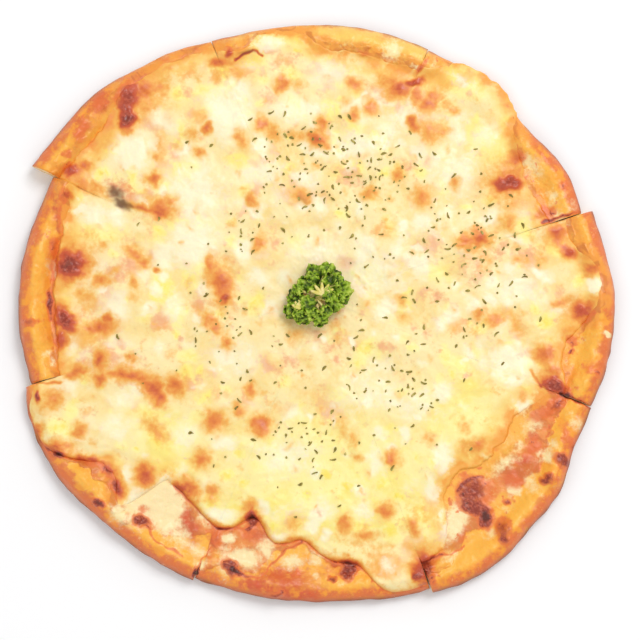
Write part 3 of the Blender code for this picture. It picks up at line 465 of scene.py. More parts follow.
# Lines drawn across the cheese and crust, a strength, a half width and the points they run through, all in
# millimetres: folds in the film, cut edges that browned and one dark strand.
LINES = (
    (1.05, 0.9, ((-40.5, 127.3), (-36.5, 130), (-32.5, 132), (-29.9, 131.3), (-27.2, 129.3))),
    (0.70, 1.1, ((-49, -108), (-43, -108.6), (-36, -108.6), (-30, -106.5))),
    (0.80, 0.8, ((-60, -130.4), (-57, -123), (-52.5, -118))),
    (0.92, 1.0, ((-42, -128), (-36, -131.7), (-28, -132.4), (-22, -125.7), (-14.8, -118.4), (-7.4, -115))),
    (0.85, 0.9, ((-84, -107), (-81, -113.5), (-71, -119), (-66, -122))),
    (0.50, 1.6, ((-119.5, -72), (-106.7, -75.5), (-101.4, -84), (-99.4, -89.5))),
    (0.70, 0.8, ((70, -90), (72.5, -86), (78, -82.5), (83, -83))),
    (0.40, 1.2, ((62, -92), (66, -84), (76, -78.5), (90, -76))),
    (0.30, 1.0, ((58, -92), (62, -82), (74, -75.5), (90, -73.5))),
    (0.80, 0.9, ((56.7, -122.4), (66.8, -121), (73.6, -117))),
    (0.30, 1.0, ((20, -115), (30, -117.5), (42, -116), (50, -120))),
    (0.45, 2.0, ((-106, -31), (-93, -31.5), (-84, -37), (-76, -44))),
    (0.60, 0.8, ((107, -29), (109.5, -34), (112, -38))),
    (0.75, 1.2, ((-134, 9.5), (-133.5, -4))),
    (0.95, 1.0, ((132.4, 50.3), (123.8, 48.3), (113, 44.3))),
    (0.36, 0.9, ((113, 44.3), (105, 40.5), (92, 36))),
    (0.95, 0.9, ((137, -47.8), (131, -45), (122, -41))),
    (0.70, 0.9, ((-142, -36), (-128, -35.5))),
    (0.36, 1.4, ((-127, 65), (-103, 56), (-76, 48))),
    (0.60, 0.8, ((56, 129), (54.5, 124))),
    (0.45, 0.9, ((-139.5, 73.5), (-128, 65.5))),
    (0.30, 1.6, ((-18, -112), (-6, -113.6), (4, -119), (14, -124.5), (21, -125.5))),
)


# ---------------------------------------------------------------- surfaces, on arrays of places

def smooth_step(share):
    share = np.clip(share, 0.0, 1.0)
    return share * share * (3.0 - 2.0 * share)


def read_curve(knots, bearing):
    """Values on the smooth curve through the knots, which never overshoots one."""
    at, value = np.array(knots, float).T
    width = np.diff(at)
    slope = np.diff(value) / width
    product = slope[:-1] * slope[1:]
    total = slope[:-1] + slope[1:]
    inner = np.where(product > 0.0, 2.0 * product / np.where(total == 0.0, 1.0, total), 0.0)
    slopes = np.concatenate([slope[:1], inner, slope[-1:]])
    index = np.clip(np.searchsorted(at, bearing) - 1, 0, len(width) - 1)
    share = np.clip((bearing - at[index]) / width[index], 0.0, 1.0)
    rise = smooth_step(share)
    leave = share * (1.0 - share) ** 2 * width[index] * slopes[index]
    arrive = share * share * (share - 1.0) * width[index] * slopes[index + 1]
    return value[index] * (1.0 - rise) + value[index + 1] * rise + leave + arrive


def rough(x, y, length, layer=0.0):
    """Smooth unevenness between about -1 and 1, one wave in so many metres."""
    x, y = np.broadcast_arrays(x, y)
    turned_x, turned_y = 0.83 * x + 0.56 * y, 0.83 * y - 0.56 * x
    pairs = zip((turned_x / length).ravel().tolist(), (turned_y / length).ravel().tolist())
    values = [noise.noise((across, along, layer)) for across, along in pairs]
    return 2.0 * np.array(values).reshape(x.shape)


def wave(x, y, height, length, layer):
    """Unevenness with a height and a length in millimetres, from one layer of the noise."""
    return height * MM * rough(x, y, length * MM, layer)


def swayed(x, y, *waves):
    """The places pushed about by waves, each a height, a length and the layers for x and y."""
    over, along = x, y
    for height, length, layer_x, layer_y in waves:
        over = over + wave(x, y, height, length, layer_x)
        along = along + wave(x, y, height, length, layer_y)
    return over, along


HALO = 0.34
HALO_FADE = 0.2
SPOT_FADE = 0.7
FIRM_FROM = 0.95
FIRM_POWER = 1.5
HALO_REACH = 4.2
SPOT_REACH = 2.4
LINE_SPREAD = 1.3


def strongest(x, y, places, halo=0.0):
    """The strongest of many soft places at each point; halo is the share of each that fades slowly."""
    field = np.zeros_like(x)
    for middle_x, middle_y, long, wide, turn, strength in places:
        away_x = x - middle_x * MM
        away_y = y - middle_y * MM
        reach = (HALO_REACH if halo else SPOT_REACH) * max(long, wide) * MM
        near = np.maximum(np.abs(away_x), np.abs(away_y)) < reach
        if not near.any():
            continue
        cos, sin = math.cos(math.radians(turn)), math.sin(math.radians(turn))
        along = (away_x[near] * cos + away_y[near] * sin) / (long * MM)
        across = (away_y[near] * cos - away_x[near] * sin) / (wide * MM)
        away = along ** 2 + across ** 2
        firm = FIRM_POWER if halo and strength > FIRM_FROM else 1.0
        value = (1.0 - halo) * np.exp(-SPOT_FADE * away ** firm) + halo * np.exp(-HALO_FADE * away)
        field[near] = np.maximum(field[near], strength * value)
    return field


def away_from(x, y, points):
    """How far each place is from the line drawn through the points."""
    nearest = np.full(np.shape(x), 1.0)
    for (from_x, from_y), (to_x, to_y) in zip(points, points[1:]):
        along_x, along_y = to_x - from_x, to_y - from_y
        off_x, off_y = x - from_x, y - from_y
        share = np.clip((off_x * along_x + off_y * along_y) / (along_x ** 2 + along_y ** 2), 0.0, 1.0)
        nearest = np.minimum(nearest, (off_x - share * along_x) ** 2 + (off_y - share * along_y) ** 2)
    return np.sqrt(nearest)


def nearest_line(x, y, lines):
    """How strongly each point feels the nearest of the drawn lines."""
    field = np.zeros_like(x)
    for strength, width, points in lines:
        away = away_from(x, y, [(over * MM, along * MM) for over, along in points])
        field = np.maximum(field, strength * np.exp(-(away / (width * LINE_SPREAD * MM)) ** 2))
    return field


def soft_spots(seed, count, reach, radius, strength, lowest=-200.0):
    """Small spots strewn at random, as places of the same kind as the listed ones, none below lowest."""
    draw = random.Random(seed)
    spots = []
    for _ in range(count):
        out = reach * math.sqrt(draw.random())
        turn = draw.uniform(0.0, 2.0 * math.pi)
        size = draw.uniform(*radius)
        long = size * draw.uniform(1.0, 1.9)
        spot = (out * math.cos(turn), out * math.sin(turn), long, size, draw.uniform(0.0, 180.0),
                draw.uniform(*strength))
        if spot[1] > lowest:
            spots.append(spot)
    return tuple(spots)


# The places were read from a point this far off the model's own middle, in millimetres.
PLACES_MIDDLE = (0.0, -0.65)
FIELDS = {
    "brown": BROWN_PLACES + soft_spots(31, 460, 138.0, (0.7, 2.0), (0.08, 0.32)),
    "sauce": SAUCE_PLACES + soft_spots(32, 70, 140.0, (1.5, 4.0), (0.15, 0.40)),
    "blush": BLUSH_PLACES + soft_spots(33, 320, 140.0, (1.6, 5.5), (0.25, 0.95), -45.0),
    "gold": GOLD_PLACES + soft_spots(36, 170, 138.0, (1.6, 5.0), (0.15, 0.65), -60.0),
    "lemon": LEMON_PLACES + soft_spots(34, 260, 136.0, (1.0, 3.6), (0.2, 0.85)),
    "milk": MILK_PLACES + soft_spots(35, 300, 138.0, (1.4, 5.0), (0.3, 1.0)),
    "burnt": BURNT_PLACES,
}


def browning(x, y):
    """Smooth fields over the pizza that the finishes turn into colour."""
    x, y = x - PLACES_MIDDLE[0] * MM, y - PLACES_MIDDLE[1] * MM
    bent = swayed(x, y, (1.0, 6.0, 3.0, 8.0), (0.5, 2.3, 21.0, 22.0))
    fields = {}
    for name, places in FIELDS.items():
        fields[name] = strongest(*bent, places, HALO if name == "brown" else 0.0)
    wavy = swayed(x, y, (0.5, 3.5, 23.0, 24.0))
    fields["line"] = nearest_line(*wavy, LINES)
    return fields


def read_around(knots, bearing):
    """Reads a curve that runs the whole way round, from the first slice's start."""
    first = SLICES[0].start
    return read_curve(knots, (bearing - first) % 360.0 + first)


def melted(bearing):
    return read_around(MELT, bearing)


class Wedge:
    """One slice's surfaces, at arrays of bearings and distances from its tip."""

    def __init__(self, piece):
        self.piece = piece
        half = math.radians((piece.end - piece.start) / 2.0)
        middle = math.radians((piece.end + piece.start) / 2.0)
        self.inset = SLICE_GAP / 2.0 / math.sin(half)
        self.tip = CUT_CENTRE + self.inset * np.array((math.cos(middle), math.sin(middle)))
        bearing = np.linspace(piece.start, piece.end, FRONT_STEPS)
        self.front_line = list(zip(*self.place(bearing, self.front(bearing))))

    def place(self, bearing, distance):
        angle = np.radians(bearing)
        return self.tip[0] + distance * np.cos(angle), self.tip[1] + distance * np.sin(angle)

    def polar(self, x, y):
        bearing = np.degrees(np.arctan2(y - self.tip[1], x - self.tip[0]))
        around = (bearing - self.piece.start + SPARE_TURN) % 360.0 - SPARE_TURN
        bearing = np.clip(self.piece.start + around, self.piece.start, self.piece.end)
        return bearing, np.hypot(x - self.tip[0], y - self.tip[1])

    def rim(self, bearing):
        return read_curve(self.piece.rim, bearing) * MM - self.inset

    def front(self, bearing):
        """Where the cheese ends: the knots' curve with rounded corners, more ragged where it melted."""
        turned = [read_curve(self.piece.front, bearing + turn) for turn in FRONT_ROUNDING]
        rounded = sum(turned) / len(turned) * MM
        ragged = 0.0
        for height, length, layer in FRONT_WAVES:
            ragged = ragged + height * MM * rough(bearing / length, 0.0, 1.0, layer)
        return rounded - self.inset + ragged * (CRISP_SHARE + (1.0 - CRISP_SHARE) * melted(bearing))

    def past_front(self, bearing, distance):
        """How far each place is from the front's nearest point, below 0 where it is under the cheese."""
        straight = distance - self.front(bearing)
        nearest = away_from(*self.place(bearing, distance), self.front_line)
        return np.sign(straight) * np.minimum(np.abs(straight), nearest)

    def film(self, bearing):
        return self.front(bearing) + read_around(FILM, bearing) * MM

    def crest(self, bearing):
        over_x, over_y = self.place(bearing, self.rim(bearing) - RIM_WIDTH / 2.0)
        covered = smooth_step((self.front(bearing) - self.rim(bearing) + COVERED_FROM) / COVERED_RUN)
        wave = RIM_WAVE * rough(over_x, over_y, WAVE_LENGTH)
        return self.piece.crest * MM + wave - COVERED_DROP * covered

    def crest_at(self, bearing):
        return self.rim(bearing) - RIM_WIDTH * (1.0 - RIM_CREST_AT)

    def bubble(self, x, y):
        height = np.zeros_like(x)
        for bearing, distance, radius, rise in BUBBLES:
            middle_x, middle_y = self.place(bearing, distance * MM)
            away = np.hypot(x - middle_x, y - middle_y) / (radius * MM)
            height = np.maximum(height, rise * MM * smooth_step(1.0 - away))
        return height

    def dough_top(self, bearing, distance):
        rim = self.rim(bearing)
        crest = self.crest(bearing)
        share = (distance - rim + RIM_WIDTH) / RIM_WIDTH
        outward = np.minimum(distance / (rim - RIM_WIDTH), 1.0)
        floor = DOUGH_AT_TIP + (DOUGH_AT_RIM - DOUGH_AT_TIP) * outward
        bubble = self.bubble(*self.place(bearing, distance))
        inner = floor + (crest - floor) * smooth_step(share / RIM_CREST_AT) + bubble
        over = np.clip((share - RIM_CREST_AT) / (1.0 - RIM_CREST_AT), 0.0, 1.0)
        widest = RIM_WIDEST_AT * crest
        outer = widest + (crest + bubble - widest) * np.sqrt(1.0 - over * over)
        return np.where(share < RIM_CREST_AT, inner, outer)

    def cheese_bed(self, bearing, distance):
        crest_at = self.crest_at(bearing)
        past = np.maximum(distance - crest_at, 0.0)
        return self.dough_top(bearing, np.minimum(distance, crest_at)) - CHEESE_SAG * past

    def cheese_body(self, bearing, distance):
        """The cheese's thickness, which thins toward the front where it melted into the crust."""
        on_rim = smooth_step((distance - self.rim(bearing) + RIM_WIDTH) / RIM_WIDTH)
        thickness = CHEESE_THICKNESS + (CHEESE_ON_RIM - CHEESE_THICKNESS) * on_rim
        relief = CHEESE_WAVE * rough(*self.place(bearing, distance), WAVE_LENGTH)
        near_front = 1.0 - smooth_step((self.front(bearing) - distance) / MELT_RUN)
        return (thickness + relief) * (1.0 - melted(bearing) * (1.0 - MELT_LEFT) * near_front)

    def cheese_top(self, bearing, distance):
        left = np.maximum(-self.past_front(bearing, distance), 0.0)
        radius = CHEESE_FRONT * (1.0 - MELT_SHARPENS * melted(bearing))
        rolled = 1.0 - np.minimum(left / radius, 1.0)
        body = self.cheese_body(bearing, distance) * np.sqrt(1.0 - rolled * rolled)
        return self.cheese_bed(bearing, distance) + body

    def border(self, bearing, distance, shore_width):
        """Fields along the front: edge where it is crisp, shore where it melted."""
        away = np.abs(self.past_front(bearing, distance))
        return {
            "edge": np.exp(-away / EDGE_WIDTH) * (1.0 - melted(bearing)),
            "shore": np.exp(-np.maximum(away - SHORE_FROM, 0.0) / shore_width) * melted(bearing),
        }

    def fillet(self, bearing, distance):
        """How high the crust is filled up beside the front, where the cheese melted into it."""
        past = self.past_front(bearing, distance)
        fade = np.exp(-np.maximum(past, 0.0) / MELT_FILLET) * smooth_step((past + FILLET_FROM) / FILLET_RISE)
        return FILLET_SHARE * melted(bearing) * self.cheese_body(bearing, self.front(bearing)) * fade


WEDGES = {piece.name: Wedge(piece) for piece in SLICES}

# Unevenness of the surfaces: a height and a length in millimetres and the noise layer.
BROAD_LUMPS = (0.34, 9.0, 1.0)
SMALL_LUMPS = (0.15, 4.0, 2.0)
LUMPS_DRIFT = (3.0, 14.0, 15.0, 16.0)
CHEESE_GRAIN = (0.045, 1.7, 4.0)
LONG_WRINKLES = (0.38, 6.0, 11.0)
SHORT_WRINKLES = (0.20, 2.4, 12.0)
CRUST_GRAIN = (0.07, 1.1, 13.0)
FILM_WAVES = (0.35, 3.0, 18.0)
FILM_RAGS = (1.3, 5.0, 19.0)
FILM_FRAYS = (0.6, 2.0, 20.0)
SIDE_BULGE = (0.35, 7.0, 25.0)
BLISTER_RISE = 0.55 * MM
CHARRED_RISE = 0.8 * MM
RIPPLE_HEIGHT = 0.11 * MM
FILM_THICKNESS = 0.8 * MM
CHEESE_CREASE = 0.30 * MM
CRUST_CREASE = 0.50 * MM


def cheese_relief(wedge, bearing, distance, x, y, fields):
    """What the fine sheet adds to the cheese's plain form: lumps, blisters, ridges near its front."""
    left = np.maximum(-wedge.past_front(bearing, distance), 0.0)
    settle = smooth_step(left / (3.0 * MM)) * (1.0 - melted(bearing)) + melted(bearing)
    settle = settle * smooth_step((left + 0.8 * MM) / (2.0 * MM))
    lumps = wave(x, y, *BROAD_LUMPS) + wave(*swayed(x, y, LUMPS_DRIFT), *SMALL_LUMPS)
    fine = wave(x, y, *CHEESE_GRAIN)
    toasted = np.clip(fields["brown"] - 0.28, 0.0, 1.0)
    charred = smooth_step((fields["brown"] - 0.62) / 0.3)
    dome = BLISTER_RISE * (toasted + charred * (1.0 + 0.7 * rough(x, y, 1.9 * MM, 5.0)))
    ripple = np.sin(left / (0.85 * MM) + 2.4 * rough(x, y, 10.0 * MM, 6.0))
    near_front = np.exp(-((left - 7.0 * MM) / (8.0 * MM)) ** 2) * (1.0 - 0.7 * melted(bearing))
    creases = CHEESE_CREASE * fields["line"]
    return (lumps + fine + dome + RIPPLE_HEIGHT * ripple * near_front - creases) * settle


def crust_relief(wedge, bearing, distance, x, y, fields):
    """Wrinkles, small bubbles and the thin film of cheese on the bare part of the crust."""
    soft = 1.0 + 2.5 * melted(bearing)
    past = smooth_step(wedge.past_front(bearing, distance) / (1.2 * MM * soft))
    wrinkles = wave(x, y, *LONG_WRINKLES) + wave(x, y, *SHORT_WRINKLES)
    fine = wave(x, y, *CRUST_GRAIN)
    charred = smooth_step((fields["brown"] - 0.5) / 0.35)
    bubbles = 0.6 * rough(x, y, 1.8 * MM, 14.0) + 0.35 * rough(x, y, 0.9 * MM, 33.0)
    domes = CHARRED_RISE * charred * (1.0 + bubbles)
    film = fields["film"] * (FILM_THICKNESS + wave(x, y, *FILM_WAVES))
    creases = CRUST_CREASE * fields["line"]
    return (wrinkles + fine + domes + film - creases) * past + wedge.fillet(bearing, distance)


def film_cover(wedge, bearing, distance, x, y):
    """1 where the thin film covers the crust, 0 past its ragged edge."""
    ragged = wave(x, y, *FILM_RAGS) + wave(x, y, *FILM_FRAYS)
    return smooth_step((wedge.film(bearing) + ragged - distance) / FILM_FADE)


def cut_at(wall):
    """Where the cut at a bearing begins to part, and where it lies open, in metres."""
    faint, opened = next(row[1:] for row in CUTS if abs((row[0] - wall + 180.0) % 360.0 - 180.0) < SAME_CUT)
    return faint * MM, opened * MM


def parting(piece, bearing, distance):
    """How far each point gives way to the cuts on both sides, in x and y, and how deep their edges sink."""
    move_x, move_y = np.zeros_like(bearing), np.zeros_like(bearing)
    sink = np.zeros_like(bearing)
    for wall, side in ((piece.start, 1.0), (piece.end, -1.0)):
        faint, open_from = cut_at(wall)
        away = distance * np.sin(np.radians(np.clip(side * (bearing - wall), 0.0, 60.0)))
        begun = smooth_step((distance - faint) / (open_from - faint))
        opened = smooth_step((distance - open_from) / OPEN_RUN)
        apart = side * (FAINT_WIDTH * begun + OPEN_WIDTH * opened)
        shift = apart * np.clip(1.0 - away / PARTING_REACH, 0.0, 1.0) ** 2
        move_x -= shift * math.sin(math.radians(wall))
        move_y += shift * math.cos(math.radians(wall))
        rounded = np.exp(-(away / CUT_ROUND) ** 2) * (FAINT_SINK * begun + OPEN_SINK * opened)
        sink = np.maximum(sink, rounded)
    return move_x, move_y, sink


# ---------------------------------------------------------------- making meshes

def select_none():
    if bpy.context.object and bpy.context.object.mode != "OBJECT":
        bpy.ops.object.mode_set(mode="OBJECT")
    bpy.ops.object.select_all(action="DESELECT")


def grid_of(name, rows):
    """A sheet whose vertices are the given rows of points, an array of rows, columns and coordinates."""
    select_none()
    row_count, column_count = rows.shape[:2]
    bpy.ops.mesh.primitive_grid_add(x_subdivisions=column_count - 1, y_subdivisions=row_count - 1, size=1.0)
    obj = bpy.context.active_object
    obj.name = name
    obj.data.name = name
    obj.location = (0.0, 0.0, 0.0)
    obj.data.vertices.foreach_set("co", rows.astype(np.float32).ravel())
    return obj


def weld():
    """Joins the vertices of the active object that lie on one another."""
    bpy.ops.object.mode_set(mode="EDIT")
    bpy.ops.mesh.select_all(action="SELECT")
    bpy.ops.mesh.remove_doubles(threshold=WELD)
    bpy.ops.object.mode_set(mode="OBJECT")


def closed_sweep(name, outlines, sharp=60.0):
    """A closed body whose rings are the given outlines, an array of rings, corners and coordinates."""
    obj = grid_of(name, np.concatenate([outlines, outlines[:, :1]], axis=1))
    weld()
    bpy.ops.object.mode_set(mode="EDIT")
    bpy.ops.mesh.select_all(action="DESELECT")
    bpy.ops.mesh.select_non_manifold()
    bpy.ops.mesh.fill_holes(sides=0)
    bpy.ops.mesh.select_all(action="SELECT")
    bpy.ops.mesh.normals_make_consistent(inside=False)
    bpy.ops.object.mode_set(mode="OBJECT")
    bpy.ops.object.shade_smooth_by_angle(angle=math.radians(sharp))
    return obj


def join(name, objs):
    select_none()
    for obj in objs:
        obj.select_set(True)
    bpy.context.view_layer.objects.active = objs[0]
    bpy.ops.object.join()
    joined = bpy.context.active_object
    joined.name = name
    joined.data.name = name
    return joined


def points_of(obj):
    co = np.empty(len(obj.data.vertices) * 3, np.float32)
    obj.data.vertices.foreach_get("co", co)
    return co.reshape(-1, 3).astype(float)


def move_points(obj, co):
    obj.data.vertices.foreach_set("co", co.astype(np.float32).ravel())
    obj.data.update()


def store(obj, fields):
    for name, values in fields.items():
        layer = obj.data.attributes.new(name, "FLOAT", "POINT")
        layer.data.foreach_set("value", np.asarray(values, np.float32))


def ring_bearings(piece):
    """Bearings of a slice's rings, closer together beside its two cuts."""
    close = np.degrees(NEAR_CUT / NEAR_CUT_OUT)
    count = round((piece.end - piece.start) * RINGS_PER_DEGREE)
    inner = np.linspace(piece.start, piece.end, count)[2:-2]
    return np.concatenate([piece.start + close, inner, (piece.end - close)[::-1]])[:, None]


def swept_slice(name, wedge, bearing, distance, height):
    x, y = wedge.place(np.broadcast_to(bearing, distance.shape), distance)
    return closed_sweep(name, np.stack([x, y, height], axis=2))


def make_cheese(piece):
    """The sheet of cheese on one slice: rolled front, lumpy top and an underside that lies on the dough."""
    wedge = WEDGES[piece.name]
    bearing = ring_bearings(piece)
    front = wedge.front(bearing)
    roll = np.cos(np.linspace(0.0, math.pi / 2.0, LIP_STATIONS + 1))[None, :-1]
    lip = front - CHEESE_FRONT * (1.0 - roll)
    inner = (front - CHEESE_FRONT) * np.linspace(1.0, 0.0, CHEESE_STATIONS)[None, :]
    over = np.concatenate([lip, inner], axis=1)
    top = wedge.cheese_top(np.broadcast_to(bearing, over.shape), over)
    below = front * np.array(UNDER_SHARES)[None, :]
    under = np.broadcast_to(bearing, below.shape)
    lip_floor = wedge.cheese_bed(under, wedge.crest_at(under)) - CHEESE_LIP
    rest = wedge.dough_top(under, np.minimum(below, wedge.rim(under))) + LAYER_GAP
    bottom = np.where(below > wedge.crest_at(under), np.maximum(rest, lip_floor), rest)
    top[:, :LIP_STATIONS] = np.maximum(top[:, :LIP_STATIONS], bottom[:, -1:] + LEAST_LIP)
    distance = np.concatenate([below, over], axis=1)
    height = np.concatenate([bottom, top], axis=1)
    obj = swept_slice(f"melted_cheese_{piece.name}", wedge, bearing, distance, height)
    co = points_of(obj)
    at, out = wedge.polar(co[:, 0], co[:, 1])
    bed = wedge.cheese_bed(at, out)
    thick = np.maximum(wedge.cheese_top(at, out) - bed, LEAST_THICKNESS)
    proud = np.clip((co[:, 2] - bed) / thick, 0.0, 1.0) ** 2
    fields = browning(co[:, 0], co[:, 1])
    move_x, move_y, sink = parting(piece, at, out)
    co[:, 2] += (cheese_relief(wedge, at, out, co[:, 0], co[:, 1], fields) - sink) * proud
    co[:, 0] += move_x
    co[:, 1] += move_y
    move_points(obj, co)
    # How deep the cut's edges sink, kept to paint shade along the cut grooves.
    fields["sunk"] = sink / DEEPEST_CUT
    store(obj, fields)
    store(obj, wedge.border(at, out, SHORE_ON_CHEESE))
    return obj


def make_crust(piece, crumb):
    """The dough of one slice: flat underside, rounded foot, raised rim and the floor under the cheese."""
    wedge = WEDGES[piece.name]
    bearing = ring_bearings(piece)
    rim = wedge.rim(bearing)
    crest_at = wedge.crest_at(bearing)
    widest = RIM_WIDEST_AT * wedge.crest(bearing)
    foot = (rim - FOOT_ROUND) * np.array(FOOT_SHARES)[None, :]
    turn = np.linspace(0.0, math.pi / 2.0, SIDE_STATIONS)[None, 1:]
    side = rim - FOOT_ROUND * (1.0 - np.sin(turn))
    side_height = widest * (1.0 - np.cos(turn))
    fall = np.linspace(math.pi / 2.0, 0.0, OUTER_STATIONS)[None, 1:]
    outer = crest_at + (rim - crest_at) * np.sin(fall)
    inner_end = np.minimum(wedge.front(bearing) - CRUST_UNDER_CHEESE, rim - RIM_WIDTH - PAST_RIM_WIDTH)
    inner = crest_at + (inner_end - crest_at) * np.linspace(0.0, 1.0, CRUST_STATIONS)[None, 1:]
    hidden = inner_end * np.array(HIDDEN_SHARES)[None, :]
    tops = np.concatenate([outer, inner, hidden], axis=1)
    top_height = wedge.dough_top(np.broadcast_to(bearing, tops.shape), tops)
    side_height = np.broadcast_to(side_height, side.shape)
    distance = np.concatenate([foot, side, tops], axis=1)
    height = np.concatenate([np.zeros_like(foot), side_height, top_height], axis=1)
    obj = swept_slice(f"baked_crust_{piece.name}", wedge, bearing, distance, height)
    co = points_of(obj)
    at, out = wedge.polar(co[:, 0], co[:, 1])
    fields = browning(co[:, 0], co[:, 1])
    fields["film"] = film_cover(wedge, at, out, co[:, 0], co[:, 1])
    level = co[:, 2] / np.maximum(wedge.crest(at), LEAST_CREST)
    upper = smooth_step((level - RIM_WIDEST_AT) / UPPER_FADE)
    move_x, move_y, sink = parting(piece, at, out)
    bare = smooth_step((out - wedge.front(at)) / BARE_FADE)
    co[:, 2] += (crust_relief(wedge, at, out, co[:, 0], co[:, 1], fields) - sink * bare) * upper
    on_side = smooth_step((out - wedge.rim(at) + SIDE_FROM) / SIDE_FADE)
    on_side = on_side * smooth_step(level / FOOT_FADE) * (1.0 - upper)
    bulge = wave(co[:, 0], co[:, 1], *SIDE_BULGE) * on_side
    angle = np.radians(at)
    co[:, 0] += bulge * np.cos(angle) + move_x
    co[:, 1] += bulge * np.sin(angle) + move_y
    move_points(obj, co)
    fields["outward"] = np.clip((out - wedge.rim(at) + RIM_WIDTH) / RIM_WIDTH, -1.0, 1.0)
    fields["level"] = np.clip(level, 0.0, 1.2)
    store(obj, fields)
    store(obj, wedge.border(at, out, SHORE_ON_CRUST))
    obj.data.materials.append(None)
    obj.data.materials.append(crumb)
    for face in obj.data.polygons:
        if len(face.vertices) > CRUMB_FACE_CORNERS:
            face.material_index = 1
    return obj


# ---------------------------------------------------------------- finishes

def srgb(red, green, blue):
    """Linear colour from the 0 to 255 values that a screen shows."""
    parts = []
    for part in (red, green, blue):
        share = part / 255.0
        parts.append(share / 12.92 if share <= 0.04045 else ((share + 0.055) / 1.055) ** 2.4)
    return (*parts, 1.0)


class Value:
    """A socket that can stand in a sum: each operator adds its Math node."""

    def __init__(self, tree, socket):
        self.tree = tree
        self.socket = socket

    def combine(self, operation, first, second):
        node = self.tree.nodes.new("ShaderNodeMath")
        node.operation = operation
        for index, part in enumerate((first, second)):
            if isinstance(part, Value):
                self.tree.links.new(part.socket, node.inputs[index])
            else:
                node.inputs[index].default_value = part
        return Value(self.tree, node.outputs[0])

    def __add__(self, other):
        return self.combine("ADD", self, other)

    def __sub__(self, other):
        return self.combine("SUBTRACT", self, other)

    def __rsub__(self, other):
        return self.combine("SUBTRACT", other, self)

    def __mul__(self, other):
        return self.combine("MULTIPLY", self, other)

    __radd__ = __add__
    __rmul__ = __mul__


class Finish:
    """A material being made: its Principled shader and the nodes that feed it."""

    def __init__(self, name, **constants):
        self.material = bpy.data.materials.new(name)
        self.material.use_nodes = True
        self.tree = self.material.node_tree
        self.shader = self.tree.nodes["Principled BSDF"]
        self.place = self.node("ShaderNodeTexCoord", output="Object")
        for name, value in constants.items():
            self.shader.inputs[name.replace("_", " ")].default_value = value

    def node(self, kind, settings=None, inputs=None, output=0):
        made = self.tree.nodes.new(kind)
        for name, value in (settings or {}).items():
            setattr(made, name, value)
        for name, value in (inputs or {}).items():
            if isinstance(value, Value):
                self.tree.links.new(value.socket, made.inputs[name])
            else:
                made.inputs[name].default_value = value
        return Value(self.tree, made.outputs[output])

    def feed(self, name, value):
        self.tree.links.new(value.socket, self.shader.inputs[name])

    def field(self, name):
        return self.node("ShaderNodeAttribute", {"attribute_name": name}, output="Fac")

    def fields(self, names):
        return {name: self.field(name) for name in names.split()}

    def mottle(self, length, detail=2.0, shift=0.0, bend=0.0):
        """Noise from 0 to 1, one wave in so many metres."""
        inputs = {"Vector": self.place, "Location": (shift, shift, shift)}
        moved = self.node("ShaderNodeMapping", inputs=inputs)
        inputs = {"Vector": moved, "Scale": 1.0 / length, "Detail": detail, "Distortion": bend}
        return self.node("ShaderNodeTexNoise", inputs=inputs, output="Fac")

    def between(self, value, low, high):
        """0 below low, 1 above high, smooth between them."""
        settings = {"interpolation_type": "SMOOTHSTEP"}
        inputs = {"Value": value, "From Min": low, "From Max": high}
        return self.node("ShaderNodeMapRange", settings, inputs)

    def mix(self, share, first, second):
        settings = {"data_type": "RGBA"}
        return self.node("ShaderNodeMix", settings, {0: share, 6: first, 7: second}, output=2)

    def layers(self, base, *coats):
        """Lays coats over a base colour, each a share and a colour."""
        for share, colour in coats:
            base = self.mix(share, base, colour)
        return base

    def ladder(self, base, value, *steps):
        """Lays coats over a base colour as a value rises: two limits, a share and a colour for each."""
        for low, high, share, colour in steps:
            base = self.mix(self.between(value, low, high) * share, base, colour)
        return base

    def charred(self, fine, small, dark, light):
        """Dark crust with redder, lighter flecks in its finest grain, painted as glints of light."""
        painted_glint = self.between(fine * 0.7 + small * 0.3, 0.46, 0.60)
        return self.mix(painted_glint * 0.60, dark, light)

    def shore(self, milk):
        """The warm border where the cheese melted into the crust, broken up and hidden by milk-white."""
        broken = 1.0 + (self.mottle(9.0 * MM, 4.0, 1.7) - 0.5) * 2.6
        return self.field("shore") * broken * (1.0 - milk * 0.9)

    def bump(self, height, distance, strength=1.0):
        self.feed("Normal", self.node("ShaderNodeBump", inputs={
            "Height": height, "Distance": distance, "Strength": strength}))


SHORE_COLOUR = srgb(242, 156, 54)


